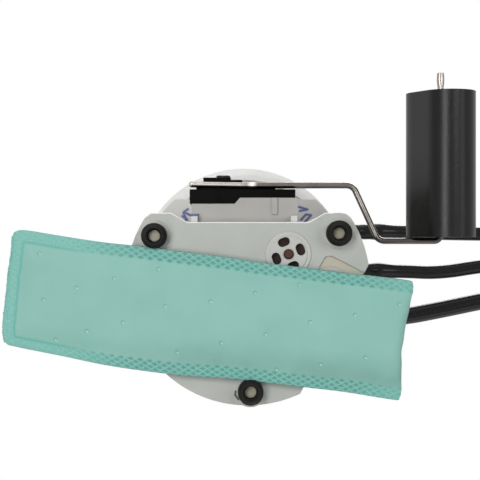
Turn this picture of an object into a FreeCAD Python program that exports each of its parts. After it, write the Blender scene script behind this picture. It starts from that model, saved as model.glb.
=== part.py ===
import FreeCAD, Part
import math
import os
import Sketcher

# Fuel pump module, in millimetres.
# +Z is up, the origin is the centre of the flange's sealing face, and the level
# sensor is on the -Y side. The reservoir slides on three rods under the flange.

Vector = FreeCAD.Vector
doc = FreeCAD.newDocument("fuel_pump_module")
sheet = doc.addObject("Spreadsheet::Sheet", "Sizes")

driving_sizes = {
    # Flange
    "flange_radius": 64.5, "flange_thick": 4.0, "spigot_radius": 59.6, "spigot_wall": 2.6,
    "spigot_depth": 12.0, "deck_rise": 3.0, "deck_slope": 2.5,
    "socket_radius": 8.0, "socket_depth": 16.0, "socket_bite": 2.0,
    # Guide rods and their places, shared by the feet
    "rod_radius": 4.0, "rod_bore": 2.6, "rod_tip": 3.0, "post_right_x": 43.0, "post_right_y": -23.8,
    "post_left_x": -44.4, "post_left_y": -22.6, "post_rear_x": 1.2, "post_rear_y": 51.3,
    "rod_play": 0.3, "clip_radius": 6.0, "clip_thick": 1.5, "fit_gap": 0.03, "stop_gap": 0.2,
    # Springs
    "coil_wire": 0.7, "coil_play": 1.4, "coil_turns": 7.0,
    # Reservoir
    "module_depth": 190.0, "base_radius": 58.1, "base_thick": 3.0, "reservoir_depth": 100.0,
    "wall": 2.2, "lip": 1.2, "chord_front": 29.1, "chord_half": 28.8, "ear_front": 33.5,
    "ear_inner": 36.7, "ear_outer": 46.3, "ear_side_x": 50.6, "ear_side_y": 29.8,
    "flat_distance": 46.6, "flat_angle": 28.0, "tube_radius": 8.0, "tube_bore": 6.8,
    "lid_radius": 58.0, "lid_thick": 4.0, "lid_front": 43.0, "lid_boss_radius": 6.5,
    "lid_boss_depth": 10.0, "window_radius": 12.0, "window_x": -24.0, "window_y": 22.0,
    "latch_width": 3.2, "latch_depth": 4.4, "latch_high": 4.4, "latch_left": -25.6,
    "latch_right": 22.2,
    # Feet
    "foot_radius": 6.05, "foot_hole": 3.3, "foot_high": 8.6, "peg_radius": 2.75, "peg_high": 3.0,
    "foot_round": 1.6, "foot_rest_ring": 7.4, "ring_rise": 0.5,
    # Inlet valve in the base
    "valve_x": 19.3, "valve_y": -13.9, "seat_radius": 10.8, "seat_step": 8.9, "seat_rise": 0.8,
    "slot_ring": 6.1, "slot_width": 4.1, "slot_long": 5.8, "slot_turn": 21.0, "slot_count": 4.0,
    "stem_radius": 1.6, "button_radius": 2.45, "button_high": 1.4, "cap_radius": 9.6,
    "cap_thick": 1.0, "cap_rise": 2.2,
    # Pump
    "pump_x": 26.0, "pump_y": 0.5, "pump_radius": 18.0, "pump_wall": 1.2, "pump_clear": 11.0,
    "shell_high": 66.0, "inlet_cover_high": 7.0, "channel_plate": 4.5, "impeller_thick": 4.0,
    "impeller_radius": 14.2, "impeller_gap": 0.3, "blade_count": 30.0, "blade_long": 3.0,
    "blade_slot": 1.1, "nipple_radius": 4.0, "nipple_high": 14.0,
    "nipple_bore": 2.2, "shaft_radius": 2.0, "bush_radius": 4.0, "bush_high": 5.0,
    "run_gap": 0.05, "core_radius": 12.4, "core_high": 26.0, "winding_high": 5.0,
    "commutator_radius": 6.4, "commutator_high": 7.0, "magnet_inner": 13.0, "magnet_high": 40.0,
    "magnet_arc": 130.0, "core_slots": 8.0, "brush_size": 5.0, "brush_long": 8.0, "inlet_offset": 13.5,
    "inlet_radius": 4.0, "isolator_wall": 1.5, "isolator_high": 16.0,
    # Strainer
    "neck_radius": 6.6, "neck_bore": 4.6, "neck_collar": 7.9, "neck_collar_high": 2.0,
    "neck_boss": 8.4, "recess_depth": 1.2,
    "sock_thick": 6.6, "sock_drop": 2.2, "sock_soft": 1.6,
    # Level sensor
    "bracket_left": -27.0, "bracket_right": 24.4, "bracket_high": 40.0, "bracket_wall": 2.0,
    "rib_x": 13.1, "rib_wide": 2.6, "rib_end": 32.9, "rib_drop": 1.2, "bracket_lift": 6.0,
    "sensor_front": 45.0, "sensor_back_thick": 38.1, "sensor_back_thin": 41.0,
    "sensor_left": -28.0, "sensor_step": -6.3, "sensor_slope": 2.7, "sensor_right": 23.0,
    "sensor_high": 40.0, "sensor_lift": 6.0, "card_thick": 0.6, "card_width": 24.0,
    "card_high": 20.0, "card_x": -4.0, "card_lift": 16.0, "card_sink": 0.35,
    # Float arm
    "pivot_x": -11.8, "pivot_lift": 24.0, "wire_lift": 15.0, "wire_radius": 1.5,
    "wire_front": 47.2, "wire_back": 20.1, "kink_x": 1.7, "kink_step": 0.5, "kink_bend": 60.0,
    "tail_x": -27.2, "bend_one_x": 51.3, "bend_two_x": 63.6, "float_axis_x": 94.0,
    "wire_tip": 101.9, "bend_radius": 5.0, "end_bend": 3.2, "stake_long": 7.0,
    "stake_wide": 1.85, "stake_thick": 1.15,
    "pin_radius": 2.0, "pin_head": 3.4, "pin_head_high": 1.0, "hub_radius": 8.0,
    "carrier_front": 51.0, "carrier_gap": 0.3, "clip_x": -21.5, "clip_long": 13.4,
    "clip_high": 6.4, "clip_finger": 5.6, "clip_finger_wide": 1.2,
    "plate_left": -25.0, "plate_right": 13.6, "plate_low": 1.8, "plate_high": 5.0, "plate_thick": 1.1,
    "wiper_thick": 0.3, "wiper_long": 22.0, "wiper_wide": 5.0, "wiper_angle": 20.0,
    # Float
    "float_thick": 26.0, "float_long": 38.0, "float_high": 70.3, "float_tilt": 31.0,
    "float_near": 22.0, "float_sink_radius": 3.2, "float_sink": 1.4,
    # Ports and hoses on top of the flange
    "port_level": 16.0, "port_wall": 0.9, "port_tube": 4.4, "riser_radius": 6.0, "riser_cap": 1.5,
    "barb_step": 0.5, "barb_pitch": 7.0, "barb_count": 2.0, "hose_start": 70.0,
    "barb_grip": 24.0, "feed_riser_x": 26.0, "feed_y": -1.2, "return_riser_x": 20.0,
    "return_y": 28.6, "vapour_riser_x": 24.0, "vapour_y": -25.8, "hose_wall": 0.6,
    "feed_hose": 4.3, "return_hose": 5.3, "vapour_hose": 4.4,
    "coupler_long": 30.0, "coupler_body": 7.6, "coupler_neck": 5.4, "coupler_bore": 4.0,
    "coupler_bore_long": 18.0, "coupler_ring": 8.6,
    # Tubes between flange and reservoir
    "feed_tube_radius": 6.6, "feed_tube_root": 5.2, "feed_tube_wall": 1.2, "feed_cuff": 9.0,
    "feed_folds": 10.0, "drop_tube_radius": 4.0, "drop_tube_bore": 2.8, "drop_tube_long": 125.0,
    "spout_radius": 3.9, "spout_high": 12.0,
    # Vent valve
    "vent_radius": 9.6, "vent_high": 24.0, "vent_wall": 1.4, "plunger_radius": 7.0,
    "plunger_high": 12.0, "vent_gap": 0.6,
    # Electrical connector
    "socket_x": -24.0, "socket_y": 4.0, "plug_wide": 30.0, "plug_deep": 17.0, "plug_high": 20.0,
    "plug_wall": 1.8, "plug_floor": 6.0, "pin_pitch": 5.6, "pin_wide": 1.6, "pin_thick": 0.8,
    "pin_rise": 11.0, "pin_count": 4.0, "plug_flange": 2.2, "plug_flange_rim": 2.6,
}


class Size:
    # A number together with the sheet expression that it comes from.
    def __init__(self, value, text):
        self.value = float(value)
        self.text = text

    def __add__(self, other):
        other = as_size(other)
        return Size(self.value + other.value, f"({self.text} + {other.text})")

    def __sub__(self, other):
        other = as_size(other)
        return Size(self.value - other.value, f"({self.text} - {other.text})")

    def __mul__(self, other):
        other = as_size(other)
        return Size(self.value * other.value, f"({self.text} * {other.text})")

    def __truediv__(self, other):
        other = as_size(other)
        return Size(self.value / other.value, f"({self.text} / {other.text})")

    def __neg__(self):
        return Size(-self.value, f"(0 - {self.text})")

    __radd__ = __add__

    def __rsub__(self, other):
        return as_size(other) - self

    __rmul__ = __mul__


def as_size(number):
    if isinstance(number, Size):
        return number
    return Size(number, f"({float(number)})")


class Sizes:
    pass


d = Sizes()
for row, (name, value) in enumerate(driving_sizes.items(), 1):
    sheet.set(f"A{row}", name)
    sheet.set(f"B{row}", str(value))
    sheet.setAlias(f"B{row}", name)
    setattr(d, name, Size(value, f"Sizes.{name}"))
doc.recompute()

# Levels and places that follow from the driving sizes
base_under = -d.module_depth
base_top = base_under + d.base_thick
reservoir_top = base_top + d.reservoir_depth
lid_top = reservoir_top + d.lid_thick
boss_end = reservoir_top - d.lid_boss_depth
deck_top = d.deck_rise + d.flange_thick
pump_floor = base_top + d.pump_clear
shell_floor = pump_floor + d.inlet_cover_high - 2
shell_top = shell_floor + d.shell_high
cap_top = shell_top + 6
nipple_top = cap_top + d.nipple_high
wire_level = base_under + d.wire_lift
pivot_level = base_under + d.pivot_lift
inlet_x = d.pump_x + d.inlet_offset
posts = {
    "right": (d.post_right_x, d.post_right_y),
    "left": (d.post_left_x, d.post_left_y),
    "rear": (d.post_rear_x, d.post_rear_y),
}
far_out = 90

nodes = {}


def bind(item, name, size):
    item.setExpression(name, as_size(size).text)


def place(item, x=0, y=0, z=0):
    bind(item, "Placement.Base.x", x)
    bind(item, "Placement.Base.y", y)
    bind(item, "Placement.Base.z", z)


def new_body(name, keep=True):
    body = doc.addObject("PartDesign::Body", name)
    body.Label = name
    if keep:
        nodes[name] = body
    return body


def draw(body, plane, z=0, x=0, y=0, turn=None):
    sketch = body.newObject("Sketcher::SketchObject", "Profile")
    base = [item for item in body.Origin.OriginFeatures if item.Role == plane][0]
    sketch.AttachmentSupport = (base, [""])
    sketch.MapMode = "FlatFace"
    bind(sketch, "AttachmentOffset.Base.x", x)
    bind(sketch, "AttachmentOffset.Base.y", y)
    bind(sketch, "AttachmentOffset.Base.z", z)
    if turn is not None:
        sketch.AttachmentOffset = FreeCAD.Placement(
            sketch.AttachmentOffset.Base, FreeCAD.Rotation(Vector(0, 0, 1), turn.value))
        bind(sketch, "AttachmentOffset.Rotation.Angle", turn)
    return sketch


def fix_point(sketch, item, end, x, y):
    for kind, size in (("DistanceX", as_size(x)), ("DistanceY", as_size(y))):
        number = sketch.addConstraint(Sketcher.Constraint(kind, -1, 1, item, end, size.value))
        sketch.setExpression(f"Constraints[{number}]", size.text)


def fix_radius(sketch, item, radius):
    radius = as_size(radius)
    number = sketch.addConstraint(Sketcher.Constraint("Radius", item, radius.value))
    sketch.setExpression(f"Constraints[{number}]", radius.text)


def add_outline(sketch, points):
    points = [(as_size(x), as_size(y)) for x, y in points]
    corners = [Vector(x.value, y.value, 0) for x, y in points]
    first = sketch.GeometryCount
    for index, corner in enumerate(corners):
        following = corners[(index + 1) % len(corners)]
        sketch.addGeometry(Part.LineSegment(corner, following), False)
    for index in range(len(corners)):
        after = first + (index + 1) % len(corners)
        sketch.addConstraint(Sketcher.Constraint("Coincident", first + index, 2, after, 1))
    for index, (x, y) in enumerate(points):
        fix_point(sketch, first + index, 1, x, y)


def add_circle(sketch, x, y, radius):
    x, y, radius = as_size(x), as_size(y), as_size(radius)
    circle = Part.Circle(Vector(x.value, y.value, 0), Vector(0, 0, 1), radius.value)
    item = sketch.addGeometry(circle, False)
    fix_point(sketch, item, 3, x, y)
    fix_radius(sketch, item, radius)


def add_slot(sketch, x, y, half_straight, radius):
    # A slot along the sketch's x, rounded at both ends
    x, y, half, radius = as_size(x), as_size(y), as_size(half_straight), as_size(radius)
    left = Vector(x.value - half.value, y.value, 0)
    right = Vector(x.value + half.value, y.value, 0)
    up = Vector(0, radius.value, 0)
    quarter = math.pi / 2
    normal = Vector(0, 0, 1)
    end_left = sketch.addGeometry(
        Part.ArcOfCircle(Part.Circle(left, normal, radius.value), quarter, 3 * quarter), False)
    low = sketch.addGeometry(Part.LineSegment(left - up, right - up), False)
    end_right = sketch.addGeometry(
        Part.ArcOfCircle(Part.Circle(right, normal, radius.value), -quarter, quarter), False)
    high = sketch.addGeometry(Part.LineSegment(right + up, left + up), False)
    for one, two in ((end_left, low), (low, end_right), (end_right, high), (high, end_left)):
        sketch.addConstraint(Sketcher.Constraint("Coincident", one, 2, two, 1))
    for arc, middle, first in ((end_left, x - half, y + radius), (end_right, x + half, y - radius)):
        fix_point(sketch, arc, 1, middle, first)
        fix_point(sketch, arc, 2, middle, y + y - first)
        number = sketch.addConstraint(
            Sketcher.Constraint("DistanceX", -1, 1, arc, 3, middle.value))
        sketch.setExpression(f"Constraints[{number}]", middle.text)


def pad(body, sketch, length, down=False):
    item = body.newObject("PartDesign::Pad", "Pad")
    item.Profile = sketch
    item.Reversed = down
    bind(item, "Length", length)
    return item


def pocket(body, sketch, length, down=True):
    item = body.newObject("PartDesign::Pocket", "Pocket")
    item.Profile = sketch
    item.Reversed = not down
    bind(item, "Length", length)
    return item


def pocket_through(body, sketch):
    item = body.newObject("PartDesign::Pocket", "Pocket")
    item.Profile = sketch
    item.Midplane = True
    item.Length = 400
    return item


def revolve(body, sketch):
    item = body.newObject("PartDesign::Revolution", "Revolution")
    item.Profile = sketch
    item.ReferenceAxis = (sketch, ["V_Axis"])
    item.Angle = 360
    return item


def repeat_round(body, feature, sketch, count):
    item = body.newObject("PartDesign::PolarPattern", "Ring")
    item.Originals = [feature]
    item.Axis = (sketch, ["N_Axis"])
    item.Angle = 360
    bind(item, "Occurrences", count)
    body.Tip = item
    return item


def turned(name, points, keep=True):
    # A body turned about its own Z axis, from radius and height pairs
    body = new_body(name, keep)
    sketch = draw(body, "XZ_Plane")
    add_outline(sketch, points)
    revolve(body, sketch)
    return body


def cylinder(name, radius, high, x=0, y=0, z=0):
    item = doc.addObject("Part::Cylinder", name)
    bind(item, "Radius", radius)
    bind(item, "Height", high)
    place(item, x, y, z)
    return item


def boxed(name, x, y, z, long_x, long_y, long_z):
    item = doc.addObject("Part::Box", name)
    bind(item, "Length", long_x)
    bind(item, "Width", long_y)
    bind(item, "Height", long_z)
    place(item, x, y, z)
    return item


def joined(name, items):
    item = doc.addObject("Part::MultiFuse", name)
    item.Shapes = items
    return item


def cut(name, base, tool):
    item = doc.addObject("Part::Cut", name)
    item.Base = base
    item.Tool = tool
    return item


def keep_as(name, item):
    item.Label = name
    nodes[name] = item
    return item


# Flange

def make_flange():
    inner = d.spigot_radius - d.spigot_wall
    cover = turned("flange_blank", [
        (0, d.deck_rise), (inner, d.deck_rise), (inner, -d.spigot_depth),
        (d.spigot_radius, -d.spigot_depth), (d.spigot_radius, 0), (d.flange_radius, 0),
        (d.flange_radius, d.flange_thick), (d.spigot_radius + 1, d.flange_thick),
        (d.spigot_radius + 1 - d.deck_slope, deck_top), (0, deck_top)], keep=False)
    sockets = [
        cylinder("RodSocket", d.socket_radius, d.socket_depth + d.deck_rise, x, y, -d.socket_depth)
        for x, y in posts.values()]
    spout = cylinder("FeedSpout", d.spout_radius, d.spout_high + d.deck_rise + 1,
                     d.pump_x, d.pump_y, -d.spout_high)
    collar = cylinder("DropCollar", d.drop_tube_radius + 2, 8 + d.deck_rise,
                      d.return_riser_x, d.return_y, -8)
    holes = [
        cylinder("RodHole", d.rod_radius + d.fit_gap, d.socket_depth + d.socket_bite,
                 x, y, -d.socket_depth)
        for x, y in posts.values()]
    spout_hole = cylinder("SpoutHole", d.nipple_bore, d.spout_high + deck_top,
                          d.pump_x, d.pump_y, -d.spout_high)
    drop_hole = cylinder("DropHole", d.drop_tube_radius + d.fit_gap, 8 + d.deck_rise,
                         d.return_riser_x, d.return_y, -8)
    drop_way = cylinder("DropWay", d.drop_tube_bore, 8 + deck_top, d.return_riser_x, d.return_y, -8)
    vent_way = cylinder("VentWay", d.nipple_bore, deck_top, d.vapour_riser_x, d.vapour_y, 0)
    solid = joined("FlangeSolid", [cover, spout, collar] + sockets)
    tools = joined("FlangeHoles", holes + [spout_hole, drop_hole, drop_way, vent_way])
    keep_as("flange_cover", cut("flange_cover", solid, tools))


def make_port(name, riser_x, line_y, hose):
    # A riser on the deck with a level barbed tube that points to +X
    nose = d.hose_start + d.barb_grip
    barb = hose - d.hose_wall
    root = barb - d.barb_step
    riser = cylinder("Riser", d.riser_radius, d.port_level - deck_top + d.port_tube + d.riser_cap,
                     riser_x, line_y, deck_top)
    tube = new_body("PortTube", keep=False)
    sketch = draw(tube, "XZ_Plane")
    points = [(0, riser_x), (d.port_tube, riser_x), (d.port_tube, d.hose_start - 0.3),
              (root, d.hose_start - 0.3)]
    for step in range(int(d.barb_count.value)):
        foot = nose - d.barb_pitch * (d.barb_count - step)
        points.append((root, foot))
        points.append((barb, foot))
        points.append((root, foot + d.barb_pitch * 0.8))
    points.append((root, nose))
    points.append((0, nose))
    add_outline(sketch, points)
    revolve(tube, sketch)
    tube.Placement = FreeCAD.Placement(Vector(0, 0, 0), FreeCAD.Rotation(Vector(0, 1, 0), 90))
    place(tube, 0, line_y, d.port_level)
    bore = doc.addObject("Part::Cylinder", "PortBore")
    bind(bore, "Radius", root - d.port_wall)
    bind(bore, "Height", nose - riser_x)
    bore.Placement = FreeCAD.Placement(Vector(0, 0, 0), FreeCAD.Rotation(Vector(0, 1, 0), 90))
    place(bore, riser_x, line_y, d.port_level)
    down = cylinder("PortDown", root - d.port_wall, d.port_level - deck_top,
                    riser_x, line_y, deck_top)
    web = boxed("PortWeb", riser_x, line_y - 1, deck_top, d.spigot_radius - 4 - riser_x, 2,
                d.port_level - deck_top)
    solid = joined("PortSolid", [riser, tube, web])
    keep_as(name, cut(name, solid, joined("PortWay", [bore, down])))


def make_connector():
    rim = d.plug_flange_rim
    body = new_body("connector_shell")
    sketch = draw(body, "XY_Plane")
    half_x, half_y = d.plug_wide / 2, d.plug_deep / 2
    add_outline(sketch, [(-half_x - rim, -half_y - rim), (half_x + rim, -half_y - rim),
                         (half_x + rim, half_y + rim), (-half_x - rim, half_y + rim)])
    pad(body, sketch, d.plug_flange)
    sketch = draw(body, "XY_Plane")
    add_outline(sketch, [(-half_x, -half_y), (half_x, -half_y), (half_x, half_y), (-half_x, half_y)])
    pad(body, sketch, d.plug_high)
    sketch = draw(body, "XY_Plane", z=d.plug_high)
    in_x, in_y = half_x - d.plug_wall, half_y - d.plug_wall
    add_outline(sketch, [(-in_x, -in_y), (in_x, -in_y), (in_x, in_y), (-in_x, in_y)])
    pocket(body, sketch, d.plug_high - d.plug_floor)
    place(body, d.socket_x, d.socket_y, deck_top)
    pins = []
    for index in range(int(d.pin_count.value)):
        shift = (index - (d.pin_count.value - 1) / 2)
        pins.append(boxed("Pin", d.socket_x + d.pin_pitch * shift - d.pin_wide / 2,
                          d.socket_y - d.pin_thick / 2, deck_top + d.plug_floor,
                          d.pin_wide, d.pin_thick, d.pin_rise))
    group = doc.addObject("Part::Compound", "connector_pins")
    group.Links = pins
    keep_as("connector_pins", group)


def make_vent_valve():
    top = d.deck_rise
    body = turned("vent_valve_housing", [
        (0, 0), (d.vent_radius, 0), (d.vent_radius, -d.vent_high + 2),
        (d.vent_radius - 2, -d.vent_high), (3, -d.vent_high),
        (3, -d.vent_high + d.vent_wall), (d.vent_radius - d.vent_wall, -d.vent_high + 2.5),
        (d.vent_radius - d.vent_wall, -d.vent_wall), (2.2, -d.vent_wall), (2.2, -0.4), (0, -0.4)])
    place(body, d.vapour_riser_x, d.vapour_y, top)
    floor = -d.vent_high + 2.5 + d.vent_gap
    plunger = turned("vent_valve_plunger", [
        (0, floor), (d.plunger_radius, floor), (d.plunger_radius, floor + d.plunger_high),
        (2, floor + d.plunger_high + 2), (0, floor + d.plunger_high + 3)])
    place(plunger, d.vapour_riser_x, d.vapour_y, top)


# Rods, clips and springs

def make_rods():
    rod_end = boss_end - d.stop_gap - d.clip_thick - d.rod_tip
    clips = []
    for side, (x, y) in posts.items():
        rod = turned(f"guide_rod_{side}", [
            (d.rod_bore, rod_end), (d.rod_radius - 0.6, rod_end), (d.rod_radius, rod_end + 0.6),
            (d.rod_radius, d.socket_bite - 0.2), (d.rod_bore, d.socket_bite - 0.2)])
        place(rod, x, y, 0)
        clip_top = boss_end - d.stop_gap
        clip = turned("RodClip", [
            (d.rod_radius + d.fit_gap, clip_top - d.clip_thick),
            (d.clip_radius, clip_top - d.clip_thick), (d.clip_radius, clip_top),
            (d.rod_radius + d.fit_gap, clip_top)], keep=False)
        place(clip, x, y, 0)
        clips.append(clip)
    group = doc.addObject("Part::Compound", "rod_end_clips")
    group.Links = clips
    keep_as("rod_end_clips", group)


def make_springs():
    for side, (x, y) in posts.items():
        body = new_body(f"spring_{side}")
        sketch = draw(body, "XZ_Plane")
        inside = d.rod_radius + d.coil_play
        outside = inside + d.coil_wire * 2
        add_outline(sketch, [(inside, d.coil_wire), (inside + d.coil_wire, 0),
                             (outside, d.coil_wire), (inside + d.coil_wire, d.coil_wire * 2)])
        coil = body.newObject("PartDesign::AdditiveHelix", "Coil")
        coil.Profile = sketch
        coil.ReferenceAxis = (sketch, ["V_Axis"])
        coil.Mode = 1
        length = -d.socket_depth - lid_top - d.coil_wire * 2 - 0.4
        bind(coil, "Height", length)
        bind(coil, "Pitch", length / d.coil_turns)
        coil.Turns = d.coil_turns.value
        coil.Mode = 0
        place(body, x, y, lid_top + 0.2)


# Reservoir

def shape_reservoir(name, inset, low, high):
    # The plan of base and bucket: a disc with a front chord between two ears and a side flat
    body = new_body(name, keep=False)
    sketch = draw(body, "XY_Plane")
    add_circle(sketch, 0, 0, d.base_radius - inset)
    pad(body, sketch, high - low)
    front = draw(body, "XY_Plane")
    side = [(d.ear_side_x - inset, d.ear_side_y - inset),
            (d.ear_outer - inset * 0.4, d.ear_front - inset), (d.ear_inner, d.ear_front - inset),
            (d.chord_half, d.chord_front - inset)]
    right = [(x, -y) for x, y in side]
    left = [(-x, -y) for x, y in reversed(side)]
    edge = -(d.ear_side_y - inset)
    add_outline(front, [(far_out, edge)] + right + left
                + [(-far_out, edge), (-far_out, -far_out), (far_out, -far_out)])
    pocket_through(body, front)
    flat = draw(body, "XY_Plane", turn=d.flat_angle)
    add_outline(flat, [(d.flat_distance - inset, -far_out), (far_out, -far_out),
                       (far_out, far_out), (d.flat_distance - inset, far_out)])
    pocket_through(body, flat)
    place(body, 0, 0, low)
    return body


def make_bucket():
    outer = shape_reservoir("BucketOuter", d.lip, base_top, reservoir_top)
    core = shape_reservoir("BucketCore", d.lip + d.wall, base_top - 1, reservoir_top + 1)
    shell = cut("BucketShell", outer, core)
    tubes = [cylinder("GuideTube", d.tube_radius, reservoir_top - base_top, x, y, base_top)
             for x, y in posts.values()]
    bores = [cylinder("GuideBore", d.tube_bore, reservoir_top - base_top, x, y, base_top)
             for x, y in posts.values()]
    latches = [boxed("Latch", x - d.latch_width / 2, -d.chord_front + d.lip - d.latch_depth,
                     base_top + 1, d.latch_width, d.latch_depth + 1, d.latch_high)
               for x in (d.latch_left, d.latch_right)]
    solid = joined("BucketSolid", [shell] + tubes + latches)
    keep_as("reservoir_bucket", cut("reservoir_bucket", solid, joined("BucketBores", bores)))


def make_lid():
    body = new_body("reservoir_lid")
    sketch = draw(body, "XY_Plane")
    add_circle(sketch, 0, 0, d.lid_radius)
    pad(body, sketch, d.lid_thick)
    front = draw(body, "XY_Plane")
    add_outline(front, [(far_out, -d.lid_front), (-far_out, -d.lid_front),
                        (-far_out, -far_out), (far_out, -far_out)])
    pocket_through(body, front)
    flat = draw(body, "XY_Plane", turn=d.flat_angle)
    add_outline(flat, [(d.flat_distance, -far_out), (far_out, -far_out),
                       (far_out, far_out), (d.flat_distance, far_out)])
    pocket_through(body, flat)
    bosses = draw(body, "XY_Plane")
    for x, y in posts.values():
        add_circle(bosses, x, y, d.lid_boss_radius)
    pad(body, bosses, d.lid_boss_depth, down=True)
    ways = draw(body, "XY_Plane")
    for x, y in posts.values():
        add_circle(ways, x, y, d.rod_radius + d.rod_play)
    add_circle(ways, d.pump_x, d.pump_y, d.pump_radius + d.isolator_wall + d.fit_gap)
    add_circle(ways, d.return_riser_x, d.return_y, d.drop_tube_radius + 0.8)
    add_circle(ways, d.window_x, d.window_y, d.window_radius)
    pocket_through(body, ways)
    place(body, 0, 0, reservoir_top)


def make_base():
    body = shape_reservoir("base_plate", 0, base_under, base_top)
    nodes["base_plate"] = body
    rings = draw(body, "XY_Plane")
    for x, y in posts.values():
        add_circle(rings, x, y, d.foot_rest_ring)
    add_circle(rings, d.valve_x, d.valve_y, d.seat_radius)
    pad(body, rings, d.ring_rise, down=True)
    step = draw(body, "XY_Plane", z=-d.ring_rise)
    add_circle(step, d.valve_x, d.valve_y, d.seat_step)
    pad(body, step, d.seat_rise - d.ring_rise, down=True)
    pegs = draw(body, "XY_Plane", z=-d.ring_rise)
    for x, y in posts.values():
        add_circle(pegs, x, y, d.peg_radius)
    pad(body, pegs, d.peg_high, down=True)
    slot = draw(body, "XY_Plane", x=d.valve_x, y=d.valve_y, turn=-d.slot_turn)
    add_slot(slot, 0, d.slot_ring, (d.slot_long - d.slot_width) / 2, d.slot_width / 2)
    way = pocket_through(body, slot)
    doc.recompute()
    repeat_round(body, way, slot, d.slot_count)
    holes = draw(body, "XY_Plane")
    add_circle(holes, d.valve_x, d.valve_y, d.stem_radius + d.fit_gap)
    add_circle(holes, inlet_x, d.pump_y, d.neck_radius + d.fit_gap)
    pocket_through(body, holes)
    recess = draw(body, "XY_Plane")
    add_outline(recess, [(29.0, 0.5), (33.2, -6.3), (36.7, -12.5), (40.1, -13.0), (62, -1.6),
                         (62, 9), (29.0, 9)])
    pocket(body, recess, d.recess_depth, down=False)
    boss = draw(body, "XY_Plane", z=d.recess_depth)
    add_circle(boss, inlet_x, d.pump_y, d.neck_boss)
    add_circle(boss, inlet_x, d.pump_y, d.neck_radius + d.fit_gap)
    body.Tip = pad(body, boss, d.recess_depth, down=True)


def make_feet():
    hole = d.peg_radius + d.fit_gap
    low = d.foot_high
    for side, (x, y) in posts.items():
        foot = turned(f"foot_{side}", [
            (hole, 0), (d.foot_radius - 0.5, 0), (d.foot_radius, -0.8),
            (d.foot_radius, -low + d.foot_round), (d.foot_radius - d.foot_round, -low),
            (d.foot_hole + 0.5, -low), (d.foot_hole, -low + 0.5),
            (d.foot_hole, -d.peg_high - 0.2), (hole, -d.peg_high - 0.2)])
        place(foot, x, y, base_under - d.ring_rise)


def make_inlet_valve():
    # The cap lies over the slots inside, and the stem holds it through the base
    seat = -d.seat_rise - 0.05
    button = seat - d.button_high
    top = d.base_thick + 0.1
    body = turned("inlet_valve", [
        (0, button), (d.button_radius * 0.7, button), (d.button_radius, button + 0.6),
        (d.button_radius, seat), (d.stem_radius, seat), (d.stem_radius, top),
        (d.cap_radius * 0.6, top + 0.1), (d.cap_radius, top), (d.cap_radius, top + 0.5),
        (d.cap_radius * 0.5, top + d.cap_thick + 0.4), (0, top + d.cap_rise)])
    place(body, d.valve_x, d.valve_y, base_under)


# Strainer

def make_strainer():
    sock_top = base_under - d.sock_drop
    neck = turned("strainer_neck", [
        (d.neck_bore, 0), (d.neck_radius, 0), (d.neck_radius, d.sock_drop + d.base_thick),
        (d.neck_collar, d.sock_drop + d.base_thick),
        (d.neck_collar, d.sock_drop + d.base_thick + d.neck_collar_high),
        (d.neck_radius, d.sock_drop + d.base_thick + d.neck_collar_high),
        (d.neck_radius - 0.6, d.sock_drop + d.base_thick + d.pump_clear),
        (d.neck_bore, d.sock_drop + d.base_thick + d.pump_clear)])
    place(neck, inlet_x, d.pump_y, sock_top)
    body = new_body("strainer_sock")
    sketch = draw(body, "XY_Plane")
    add_outline(sketch, [
        (-111.0, -25.6), (-104.5, -26.2), (-86.5, -22.8), (-56.6, -16.4), (-43.0, -14.4),
        (-20, -10.8), (30, -3.6), (77.6, -1.6), (77.2, 12.0), (72.8, 34.0), (71.4, 54.6),
        (48.0, 51.3), (26.0, 48.2), (10.0, 44.6), (-10.0, 43.0), (-50.0, 39.6), (-64, 37.2),
        (-86.0, 33.8), (-110.0, 28.6), (-115.2, 24.6)])
    pad(body, sketch, d.sock_thick, down=True)
    soften_level(body, d.sock_soft)
    place(body, 0, 0, sock_top - 0.05)


def level(edge):
    heights = [vertex.Point.z for vertex in edge.Vertexes]
    return abs(heights[0] - heights[-1]) < 1e-6


def soften_level(body, radius):
    # Rounds the level edges of the last feature
    doc.recompute()
    solid = body.Tip
    picked = [f"Edge{number}" for number, edge in enumerate(solid.Shape.Edges, 1)
              if level(edge)]
    rounds = body.newObject("PartDesign::Fillet", "Rounds")
    rounds.Base = (solid, picked)
    bind(rounds, "Radius", radius)


# Pump

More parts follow.
